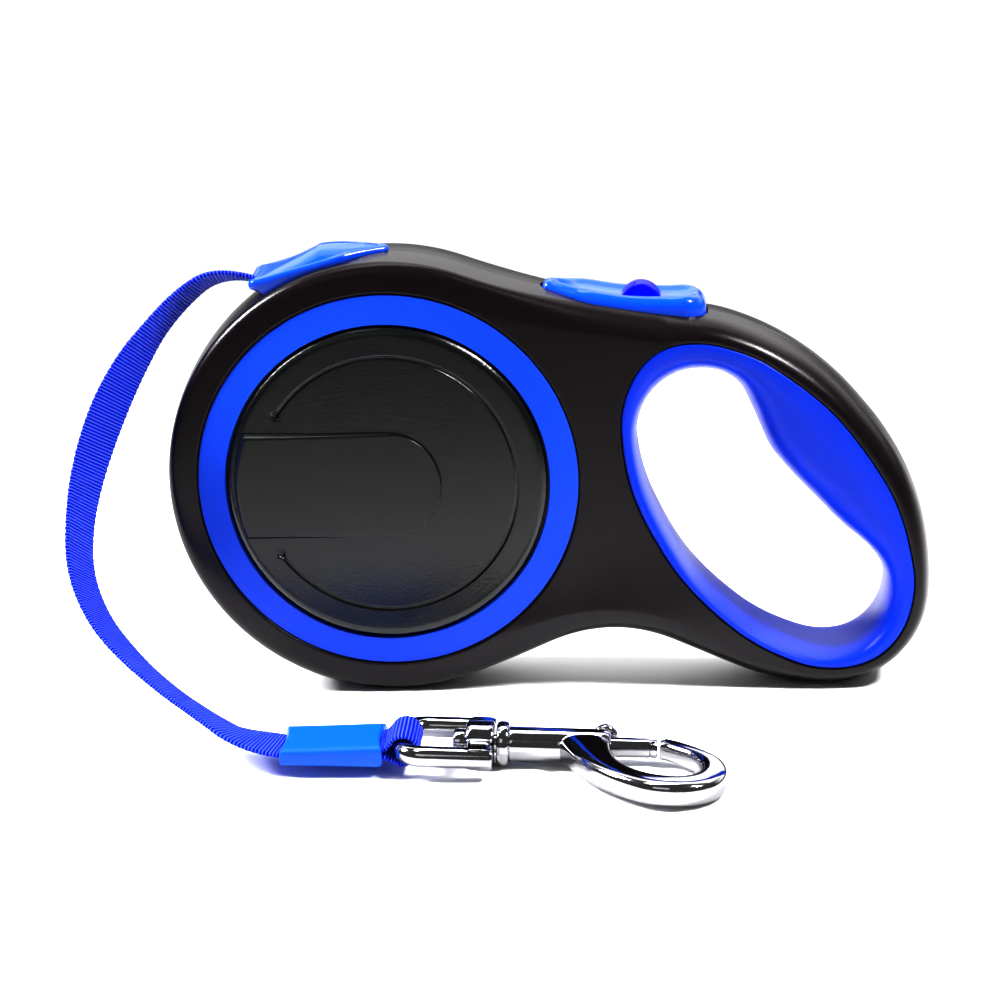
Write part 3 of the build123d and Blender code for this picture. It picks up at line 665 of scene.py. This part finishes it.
def cap_mesh(side):
    radii = [0.5 + i * 1.2 for i in range(24)] + [28.6 + i * 0.16 for i in range(13)]
    radii += [31.0, 32.0, 33.0, 33.8, 34.4, 34.8, 35.2, 35.6, 35.9, 36.15, 36.3]
    angles = [math.pi * (2 * i / 720 - 1) for i in range(720)]
    net = Net()
    rows = [[(DRUM_X + r * math.cos(a), side * cap_height(r, a), DRUM_Z + r * math.sin(a))
             for a in angles] for r in radii]
    rows += [[(DRUM_X + r * math.cos(a), side * y, DRUM_Z + r * math.sin(a)) for a in angles]
             for r, y in ((CAP_R, 14.1), (CAP_R, RECESS_Y + 0.02))]
    rings = net.skin(rows)
    net.fan(rings[0], (DRUM_X, side * cap_height(0, 0), DRUM_Z))
    net.fan(rings[-1], (DRUM_X, side * (RECESS_Y + 0.02), DRUM_Z))
    return net.mesh("cap")


def polar(radius, degrees):
    a = math.radians(degrees)
    return Vector((radius * math.cos(a), radius * math.sin(a)))


def tongue_mesh(side):
    """Raised tongue from the cap's rim to its middle."""
    reach = math.sqrt(PLATEAU_REACH**2 - PLATEAU_HALF**2)
    side_angle = math.degrees(math.asin(PLATEAU_HALF / PLATEAU_REACH))
    plan = [polar(PLATEAU_HALF, a) for a in range(-90, 91, 4)]
    plan += [Vector((-reach * i / 24, PLATEAU_HALF)) for i in range(1, 24)]
    plan += [polar(PLATEAU_REACH, 180 - side_angle * (1 - i / 12)) for i in range(25)]
    plan += [Vector((-reach * (1 - i / 24), -PLATEAU_HALF)) for i in range(1, 24)]
    plan = [p + Vector((DRUM_X, DRUM_Z)) for p in even(plan, 260)]
    normals = inward(plan)
    net, rings = Net(), []
    for d, y in ((0.0, 14.0), (0.0, 15.25), (0.9, 16.55), (1.0, 16.72), (1.2, 16.84), (1.5, PLATEAU_Y)):
        row = []
        for p, n in zip(plan, normals):
            slant = 1 - 0.72 * ease(DRUM_X - 30, DRUM_X + 8, p.x)
            rim = ease(33.0, 34.6, (p - Vector((DRUM_X, DRUM_Z))).length)
            q = p + n * d * max(slant, rim)
            row.append((q.x, side * y, q.y))
        rings.append(net.ring(row))
    for a, b in zip(rings, rings[1:]):
        net.bridge(a, b)
    net.fill(rings[-1])
    net.fill(rings[0])
    return net.mesh("tongue")


for label, way in (("front", -1), ("back", 1)):
    place(label + "_ring_skin", ring_mesh(way), "housing", TRIM, (label + "_ring",))
    place(label + "_cap_skin", cap_mesh(way), "housing", CAP, (label + "_cap",), sharp=50)
    place(label + "_tongue", tongue_mesh(way), "housing", CAP, sharp=50)


# ---- button, nub and nozzle ---------------------------------------------------------------------
def hood(plan, spine, bottom, heights):
    """Moulded cover on a plan outline; its rings close in on a spine along X."""
    rows = [[(p.x, p.y, bottom(p.x)) for p in plan]]
    for depth, height in heights:
        row = []
        for p in plan:
            goal = Vector((min(max(p.x, spine[0]), spine[1]), 0))
            reach = (goal - p).length
            share = min(1.0, depth / reach) if depth < 1e3 else 1.0
            q = p.lerp(goal, share)
            row.append((q.x, q.y, height(q.x, share)))
        rows.append(row)
    net = Net()
    rings = net.skin(rows)
    net.faces.append(tuple(rings[0]))
    last = rings[-1]
    half = len(last) // 2
    for i in range(half - 1):
        net.faces.append((last[i], last[i + 1], last[-2 - i], last[-1 - i]))
    return net.mesh("hood")


def button_mesh():
    def lip(drop):
        return lambda x, share: curve_at(BUTTON_TOP, x) - drop
    plan = loop_of(BUTTON_PLAN, 240, 3)
    start = min(range(len(plan)), key=lambda k: plan[k].x + abs(plan[k].y - 0.2) * 0.1)
    plan = plan[start:] + plan[:start]
    heights = [(0.0, lip(2.6)), (0.12, lip(1.8)), (0.4, lip(1.12)), (0.8, lip(0.6)), (1.3, lip(0.2)),
               (1.8, lip(0.02)), (2.3, lip(0.02)), (2.9, lip(0.2)), (3.6, lip(0.52)), (4.4, lip(0.8)),
               (5.4, lip(0.95)), (6.6, lip(1.0)), (1e4, lip(1.02))]
    return hood(plan, (7.0, 29.0), lambda x: BUTTON_BOTTOM, heights)


def nozzle_mesh():
    def edge(drop):
        return lambda x, share: curve_at(NOZZLE_EDGE, x) - drop

    def roof(lift):
        return lambda x, share: (curve_at(NOZZLE_EDGE, x)
                                 + (curve_at(NOZZLE_TOP, x) - curve_at(NOZZLE_EDGE, x)) * lift)
    plan = loop_of(NOZZLE_PLAN, 240, 2)
    start = min(range(len(plan)), key=lambda k: plan[k].x + abs(plan[k].y - 0.2) * 0.1)
    plan = plan[start:] + plan[:start]
    heights = [(-0.25, edge(1.5)), (-0.28, edge(0.9)), (-0.1, edge(0.4)), (0.25, edge(0.1)),
               (0.7, edge(0.0)), (1.15, edge(0.16)), (1.6, roof(0.12)), (2.6, roof(0.42)),
               (4.0, roof(0.74)), (6.0, roof(0.95)), (1e4, roof(1.0))]

    def foot(x):
        lift = 1 - ease(-65.4, -61.6, x)
        buried = DRUM_Z + math.sqrt(DRUM_R**2 - (x - DRUM_X)**2) - 1.4
        return buried + (95.2 - buried) * lift
    shape = hood(plan, (-60.0, -38.0), foot, heights)
    slot = Net()
    ends = []
    tilt = math.radians(-7.0)
    for along, grow in ((1.0, 0.5), (-0.3, 0.2), (-0.8, 0.0), (-9.0, 0.0)):
        w, h = TAPE_W / 2 + 0.4 + grow, 0.78 + grow
        ring = []
        for sy, sz in ((-1, -1), (1, -1), (1, 1), (-1, 1)):
            ring.append((-66.6 - along + sz * h * math.sin(tilt), sy * w, 95.9 + sz * h))
        ends.append(ring)
    rings = slot.skin(ends)
    slot.cap_ends(rings)
    return carved(shape, [slot.mesh("slot")])


def nub_mesh():
    """Half-round thumb slide with fine teeth on its rear flank."""
    ring = []
    for i in range(180):
        a = 2 * math.pi * i / 180
        teeth = 0.16 * math.sin(a * 46) if 1.75 < a < 2.75 else 0.0
        high = max(NUB_BOTTOM, NUB_Z + (NUB_R + teeth) * math.sin(a))
        ring.append(Vector((NUB_X + (NUB_R + teeth) * math.cos(a), high)))
    rows = [(0.6, -2.8), (0.3, -2.74), (0.1, -2.6), (0.0, -2.35), (0.0, 2.35), (0.1, 2.6), (0.3, 2.74),
            (0.6, 2.8)]
    net = Net()
    rings = net.skin([flat_ring(inset(ring, d), y) for d, y in rows])
    net.fill(rings[0])
    net.fill(rings[-1])
    return net.mesh("nub")


place("brake_button_skin", button_mesh(), "brake", BUTTON, ("brake_button",), sharp=60)
place("lock_nub_skin", nub_mesh(), "lock", NUB_SHADED, ("lock_nub",), sharp=50)
place("tape_nozzle_skin", nozzle_mesh(), "housing", BUTTON, ("tape_nozzle",), sharp=45)


# ---- tape ---------------------------------------------------------------------------------------
def spline_points(route, resolution=14):
    """Points along the NURBS spline that has the route as its control points."""
    data = bpy.data.curves.new("route", "CURVE")
    data.dimensions, data.resolution_u = "3D", resolution
    spline = data.splines.new("NURBS")
    spline.points.add(len(route) - 1)
    for point, (x, y, z) in zip(spline.points, route):
        point.co = (x * MM, y * MM, z * MM, 1)
    spline.order_u = 3
    spline.use_endpoint_u = True
    obj = bpy.data.objects.new("route", data)
    bpy.context.scene.collection.objects.link(obj)
    bpy.context.view_layer.update()
    mesh = bpy.data.meshes.new_from_object(obj)
    points = [v.co / MM for v in mesh.vertices]
    bpy.data.objects.remove(obj)
    bpy.data.meshes.remove(mesh)
    return points


def ribbon(points, across, name, width=TAPE_W, thick=TAPE_T):
    """Woven ribbon along points; across holds the width direction at each. UVs are in mm."""
    lengths = [0.0]
    for a, b in zip(points, points[1:]):
        lengths.append(lengths[-1] + (b - a).length)
    half, t = width / 2, thick / 2
    section = [(-1.0, 0.0), (-0.97, 0.8), (-0.9, 1.0)]
    section += [(k / 10, 1.0) for k in range(-8, 9, 2)]
    section += [(0.9, 1.0), (0.97, 0.8), (1.0, 0.0), (0.97, -0.8), (0.9, -1.0)]
    section += [(-k / 10, -1.0) for k in range(-8, 9, 2)]
    section += [(-0.9, -1.0), (-0.97, -0.8)]
    net, uvs = Net(), []
    rows = []
    for i, p in enumerate(points):
        ahead = points[min(i + 1, len(points) - 1)] - points[max(i - 1, 0)]
        along = ahead.normalized()
        wide = (across[i] - along * across[i].dot(along)).normalized()
        up = wide.cross(along)
        tooth = 0.13 * math.sin(lengths[i] * 2 * math.pi / 1.5)
        row = []
        for a, b in section:
            reach = a * (half + tooth) if abs(a) > 0.95 else a * half
            row.append(p + wide * reach + up * (b * t))
            uvs.append((lengths[i], a * half))
        rows.append([tuple(q) for q in row])
    rings = net.skin(rows)
    net.cap_ends(rings)
    mesh = bpy.data.meshes.new(name)
    mesh.from_pydata([(x * MM, y * MM, z * MM) for x, y, z in net.verts], [], net.faces)
    layer = mesh.uv_layers.new(name="UVMap")
    for corner, index in enumerate(v for f in net.faces for v in f):
        layer.data[corner].uv = uvs[index]
    bm = bmesh.new()
    bm.from_mesh(mesh)
    bmesh.ops.recalc_face_normals(bm, faces=bm.faces)
    bm.to_mesh(mesh)
    bm.free()
    return mesh


VIEWER = Vector((27.6, -711.6, 249.5))
LOOP_MIDDLE = Vector((-60, -25, 52))
# How much of the tape's width lies square to the view, in mm, along its length.
SHOWN = [(0.0, 0.6), (0.03, 1.3), (0.08, 3.3), (0.12, 4.2), (0.18, 5.2), (0.23, 6.8), (0.3, 8.0),
         (0.36, 8.0), (0.42, 7.3), (0.49, 6.2), (0.56, 5.5), (0.64, 4.6), (0.7, 4.0), (0.77, 3.1),
         (0.85, 2.8), (0.9, 3.3), (0.95, 4.0), (1.0, 4.6)]


def tape_widths(points):
    out = []
    for i, p in enumerate(points):
        along = (points[min(i + 1, len(points) - 1)] - points[max(i - 1, 0)]).normalized()
        view = (VIEWER - p).normalized()
        near = (view - along * along.dot(view)).normalized()
        outer = along.cross(near)
        if outer.dot(p - LOOP_MIDDLE) < 0:
            outer = -outer
        share = curve_at(SHOWN, i / (len(points) - 1)) / TAPE_W
        wide = outer * share + near * math.sqrt(1 - share * share)
        out.append(wide.lerp(Vector((0, -1, 0)), ease(0.93, 1.0, i / len(points))).normalized())
    return out


TAPE_LINE = even(spline_points(TAPE_ROUTE), 620, closed=False)
TAPE_ACROSS = tape_widths(TAPE_LINE)
SLEEVE_END = TAPE_LINE[-1] + (TAPE_LINE[-1] - TAPE_LINE[-2]).normalized() * 2.4
TAPE_MESH = ribbon(TAPE_LINE + [SLEEVE_END], TAPE_ACROSS + TAPE_ACROSS[-1:], "tape")
tape = place("free_tape_weave", TAPE_MESH, "housing", TAPE, ("free_tape",),
             sharp=0, weighted=False)


def loop_line():
    """Folded end: in along the top ply, round the eye's bar and back along the lower ply."""
    bar = Vector((HOOK_AT[0] - EYE_BACK * math.cos(HOOK_TILT),
                  HOOK_AT[2] + EYE_BACK * math.sin(HOOK_TILT)))
    radius = EYE_R + 0.35 + TAPE_T / 2
    line = [Vector((-52.0, 5.3)), Vector((-38.0, 5.3)), Vector((-34.9, 5.55)), Vector((-33.6, 6.6))]
    for k in range(19):
        a = math.radians(128 - 256 * k / 18)
        line.append(bar + Vector((radius * math.cos(a), radius * math.sin(a))))
    line += [Vector((-33.9, 3.9)), Vector((-35.0, 4.2)), Vector((-38.0, 4.25)), Vector((-52.0, 4.25))]
    return [Vector((p.x, HOOK_AT[1], p.y)) for p in even(line, 150, closed=False)]


LOOP_LINE = loop_line()
LOOP_ACROSS = [Vector((0, 1, 0))] * len(LOOP_LINE)
loop = place("tape_end_weave", ribbon(LOOP_LINE, LOOP_ACROSS, "loop", thick=0.9), "housing",
             TAPE, ("tape_end_loop",), sharp=0, weighted=False)


def sleeve_mesh():
    """Soft moulded sleeve, thicker towards the hook, with slightly hollow ends."""
    stations = [(SLEEVE_X0, 0.0), (SLEEVE_X0, 1.0), (-57.05, 1.6), (-56.7, 2.0), (-52.0, 2.12),
                (-46.0, 2.3), (-40.0, 2.5), (-35.4, 2.66), (-35.0, 2.5), (SLEEVE_X1, 2.1),
                (SLEEVE_X1, 1.2), (SLEEVE_X1, 0.0)]
    rows = []
    for k, (x, high) in enumerate(stations):
        wide = SLEEVE_HALF - (0.55 if k in (1, 10) else 0.2 if k in (2, 9) else 0.0)
        if high == 0.0:
            wide = 7.0
        ring = []
        for j in range(64):
            a = 2 * math.pi * j / 64
            c, s = math.cos(a), math.sin(a)
            y = wide * math.copysign(abs(c) ** 0.28, c)
            z = max(high, 0.7) * math.copysign(abs(s) ** 0.42, s)
            bow = 0.9 * (1 - (y / SLEEVE_HALF) ** 2) * (1 if k > 6 else -1 if k < 4 else 0)
            ring.append((x - bow, HOOK_AT[1] + y, SLEEVE_Z + z))
        rows.append(ring)
    net = Net()
    rings = net.skin(rows)
    for r in (rings[0], rings[-1]):
        net.faces.append(tuple(r))
    return net.mesh("sleeve")


sleeve = place("tape_sleeve_skin", sleeve_mesh(), "housing", SLEEVE,
               ("tape_sleeve",), sharp=45)


# ---- hook ---------------------------------------------------------------------------------------
def hook_point(u, v, w):
    c, s = math.cos(HOOK_TILT), math.sin(HOOK_TILT)
    return HOOK_AT[0] + u * c + w * s, HOOK_AT[1] + v, HOOK_AT[2] - u * s + w * c


def spun(profile, count=64, at=(0, 0, 0)):
    """Turned along the swivel axis; profile is (u, radius)."""
    net = Net()
    rows = [[hook_point(u + at[0], r * math.cos(2 * math.pi * j / count) + at[1],
                        r * math.sin(2 * math.pi * j / count) + at[2]) for j in range(count)]
            for u, r in profile]
    rings = net.skin(rows)
    net.cap_ends(rings)
    return net.mesh("spun")


def rod_along(path, radius, count=40, power=2.0):
    """Round or squarish bar along a flat path of (u, v)."""
    net = Net()
    rows = []
    for i, p in enumerate(path):
        along = (path[min(i + 1, len(path) - 1)] - path[max(i - 1, 0)]).normalized()
        side = Vector((-along.y, along.x))
        r = radius(i / (len(path) - 1)) if callable(radius) else (radius, radius)
        ring = []
        for j in range(count):
            a = 2 * math.pi * j / count
            c, s = math.cos(a), math.sin(a)
            across = r[0] * math.copysign(abs(c) ** (2 / power), c)
            high = r[1] * math.copysign(abs(s) ** (2 / power), s)
            q = p + side * across
            ring.append(hook_point(q.x, q.y, high))
        rows.append(ring)
    rings = net.skin(rows)
    net.cap_ends(rings)
    return net.mesh("rod")


def eye_mesh():
    corners = [(3.0, -EYE_HALF, 0), (-EYE_BACK, -EYE_HALF, 4.6),
               (-EYE_BACK, EYE_HALF, 4.6), (3.0, EYE_HALF, 0)]
    bars = rod_along(even(rounded(corners, closed=False, step=0.4), 140, closed=False), EYE_R)
    cross = rod_along([Vector((0, v)) for v in (-10.6, -10.5, -8, -4, 0, 4, 8, 10.5, 10.6)],
                      lambda t: (2.2, 1.9) if t in (0, 1) else (2.9, 2.4), power=5)
    hub = spun([(-3.1, 4.3), (-2.9, 4.75), (-2.4, 4.95), (2.4, 4.95), (2.9, 4.75), (3.1, 4.3)])
    return cast([bars, cross, hub], 0.22, 5)


def bow_stations():
    """Outer and inner edge of the hook's bow, and its half thickness."""
    return [
        ((16.0, -0.5), (28.3, 3.3), 3.3), ((18.4, -6.2), (28.3, -2.2), 3.35),
        ((21.2, -12.4), (28.8, -7.6), 3.2), ((25.0, -18.2), (30.0, -12.4), 3.0),
        ((30.3, -23.7), (32.7, -17.1), 2.9),
        ((36.2, -27.6), (36.8, -20.3), 2.9), ((42.2, -28.6), (41.1, -21.5), 2.9),
        ((47.4, -27.3), (44.7, -20.7), 2.85), ((51.4, -23.8), (46.8, -18.2), 2.8),
        ((53.3, -18.4), (47.6, -14.8), 2.75), ((52.8, -12.2), (47.3, -11.0), 2.65),
        ((50.0, -6.9), (45.3, -7.5), 2.5), ((45.6, -2.1), (42.4, -4.7), 2.35),
        ((41.8, 0.9), (40.3, -2.9), 2.25), ((39.0, 2.1), (38.9, -2.3), 2.2)]


def bow_mesh():
    stations = bow_stations()
    dense = []
    for k in range(len(stations) - 1):
        a, b, c, d = (stations[min(max(k + m, 0), len(stations) - 1)] for m in (-1, 0, 1, 2))
        for j in range(5):
            t = j / 5

            def mix(p0, p1, p2, p3):
                return 0.5 * (2 * p1 + (p2 - p0) * t + (2 * p0 - 5 * p1 + 4 * p2 - p3) * t * t
                              + (3 * p1 - p0 - 3 * p2 + p3) * t**3)
            outer = [mix(a[0][m], b[0][m], c[0][m], d[0][m]) for m in (0, 1)]
            inner = [mix(a[1][m], b[1][m], c[1][m], d[1][m]) for m in (0, 1)]
            dense.append((Vector(outer), Vector(inner), mix(a[2], b[2], c[2], d[2])))
    last = stations[-1]
    dense.append((Vector(last[0]), Vector(last[1]), last[2]))
    net, rows = Net(), []
    for outer, inner, half in dense:
        middle, arm = (outer + inner) / 2, (outer - inner) / 2
        ring = []
        for j in range(48):
            a = 2 * math.pi * j / 48
            c, s = math.cos(a), math.sin(a)
            q = middle + arm * math.copysign(abs(c) ** 0.72, c)
            ring.append(hook_point(q.x, q.y, half * math.copysign(abs(s) ** 0.6, s)))
        rows.append(ring)
    rings = net.skin(rows)
    net.cap_ends(rings)
    return net.mesh("bow")


def hook_mesh():
    shank = spun([(5.6, 3.6), (6.4, SHANK_R), (26.9, SHANK_R), (27.9, 3.6), (28.3, 3.1), (28.3, 2.3)])
    collar = spun([(3.5, 4.0), (3.62, 4.55), (3.95, 4.85), (4.5, COLLAR_R), (5.5, COLLAR_R), (6.0, 4.82),
                   (6.3, 4.5), (6.4, 4.0)])
    body = cast([shank, bow_mesh()], 0.22, 6)
    bore = spun([(17.0, 2.25), (40.0, 2.25)], 40)
    slot = Net()
    ring = [(-1, -1), (1, -1), (1, 1), (-1, 1)]
    rings = slot.skin([[hook_point(24.0 + a * 5.2, v, b * 1.35) for a, b in ring] for v in (1.0, 9.0)])
    slot.cap_ends(rings)
    body = carved(body, [bore, slot.mesh("slot")])
    rivet = spun([(-5.9, 2.2), (-5.8, 2.75), (-5.4, 3.0), (-3.7, 3.0), (-3.3, 2.8), (-3.3, 2.0),
                  (3.6, 2.0)])
    return joined((body, collar, rivet), "hook")


def bolt_mesh():
    bolt = spun([(17.0, 2.0), (17.2, GATE_R), (36.6, GATE_R), (36.75, 1.95), (36.95, 1.95),
                 (37.1, GATE_R), (38.1, GATE_R), (38.4, 1.9)])
    stem = Net()
    ring = [(math.cos(a), math.sin(a)) for a in (2 * math.pi * j / 24 for j in range(24))]
    rows = [[hook_point(27.0 + 1.2 * a, v, 1.05 * b) for a, b in ring] for v in (0.5, 5.3)]
    rows += [[hook_point(27.0 + r * a, v, r * b) for a, b in ring] for r, v in
             ((2.3, 5.1), (2.75, 5.4), (2.9, 6.0), (2.85, 6.8), (2.5, 7.6), (1.7, 8.15), (0.6, 8.35))]
    rings = stem.skin(rows)
    stem.cap_ends(rings)
    return joined((bolt, stem.mesh("knob")), "bolt")


eye = place("hook_eye_cast", eye_mesh(), "eye", CHROME, ("hook_eye",),
            sharp=0, weighted=False)
hook = place("hook_body_cast", hook_mesh(), "hook", CHROME, ("hook_body",), sharp=50)
bolt = place("hook_bolt_turned", bolt_mesh(), "bolt", CHROME, ("hook_gate",), sharp=50)


# ---- stage, light and camera --------------------------------------------------------------------
def stage_floor():
    mesh = bpy.data.meshes.new("floor")
    corners = [(x * FLOOR_HALF, y * FLOOR_HALF, 0) for x, y in ((-1, -1), (1, -1), (1, 1), (-1, 1))]
    mesh.from_pydata(corners, [], [(0, 1, 2, 3)])
    obj = bpy.data.objects.new("floor", mesh)
    bpy.context.scene.collection.objects.link(obj)
    material, tree, bsdf = shader("floor_white", (0.95, 0.95, 0.955), 0.6)
    grain = node(tree, "ShaderNodeTexNoise", Scale=60.0, Detail=2.0)
    tree.links.new(remap(tree, grain.outputs["Fac"], 0.5, 0.6), bsdf.inputs["Roughness"])
    mesh.materials.append(material)


def softbox(name, at, towards, size, power, spread=180):
    data = bpy.data.lights.new(name, "AREA")
    data.shape, data.size, data.size_y = "RECTANGLE", *size
    data.energy, data.spread = power, math.radians(spread)
    obj = bpy.data.objects.new(name, data)
    bpy.context.scene.collection.objects.link(obj)
    obj.location = at
    obj.rotation_mode = "QUATERNION"
    obj.rotation_quaternion = (Vector(towards) - Vector(at)).to_track_quat("-Z", "Y")


def sky():
    """Dim room in front and overhead, bright low down behind the object."""
    world = bpy.data.worlds.new("studio")
    bpy.context.scene.world = world
    world.use_nodes = True
    tree = world.node_tree
    link = tree.links.new
    where = node(tree, "ShaderNodeTexCoord")
    parts = node(tree, "ShaderNodeSeparateXYZ")
    link(where.outputs["Generated"], parts.inputs["Vector"])
    behind = remap(tree, parts.outputs["Y"], 0.0, 1.0, 0.1, 0.8, "SMOOTHSTEP")
    low_down = remap(tree, parts.outputs["Z"], 1.0, 0.0, 0.3, 0.8, "SMOOTHSTEP")
    above = remap(tree, parts.outputs["Z"], 0.0, 3.6, 0.1, 0.26, "SMOOTHSTEP")
    band = product(tree, above, low_down)
    total = node(tree, "ShaderNodeMath", operation="ADD")
    total.inputs[1].default_value = 0.18
    link(product(tree, behind, band), total.inputs[0])
    background = tree.nodes["Background"]
    background.inputs["Color"].default_value = (1, 1, 1, 1)
    link(total.outputs["Value"], background.inputs["Strength"])


def camera():
    data = bpy.data.cameras.new("camera")
    data.lens, data.sensor_width = 115.2, 36.0
    data.clip_start, data.clip_end = 0.05, 20
    obj = bpy.data.objects.new("camera", data)
    bpy.context.scene.collection.objects.link(obj)
    azimuth, elevation, roll = math.radians(3.154), math.radians(16.178), math.radians(-1.435)
    target = Vector((-11.631, 0.0, 42.751)) * MM
    back = Vector((math.sin(azimuth) * math.cos(elevation), -math.cos(azimuth) * math.cos(elevation),
                   math.sin(elevation)))
    right = Vector((math.cos(azimuth), math.sin(azimuth), 0))
    up = back.cross(right)
    right_rolled = right * math.cos(roll) + up * math.sin(roll)
    up_rolled = up * math.cos(roll) - right * math.sin(roll)
    turn = Matrix((right_rolled, up_rolled, back)).transposed()
    obj.matrix_world = Matrix.Translation(target + back * 742.011 * MM) @ turn.to_4x4()
    bpy.context.scene.camera = obj


stage_floor()
sky()
softbox("overhead", (0.0, 1.15, 1.2), (0.0, 1.05, 0.0), (2.4, 1.5), 42.0)
softbox("floor_front", (0.0, -2.1, 1.2), (0.0, -2.2, 0.0), (2.6, 1.2), 26.0, 70)
softbox("strip", (-0.1, 0.06, 0.76), (-0.02, 0.0, 0.06), (0.6, 0.16), 1.2, 90)
softbox("upper_left", (-0.68, 0.0, 0.55), (-0.05, 0.0, 0.06), (0.2, 0.3), 2.8, 40)
softbox("upper_right", (0.5, -0.22, 0.7), (0.04, 0.0, 0.06), (0.16, 0.16), 1.7, 40)
softbox("key", (-0.3, -1.0, 0.7), (0.0, 0.0, 0.04), (0.5, 0.4), 1.1)
camera()
bpy.context.scene.view_settings.view_transform = "Standard"
bpy.context.scene.view_settings.gamma = 0.76
bpy.context.scene.view_settings.exposure = -0.85
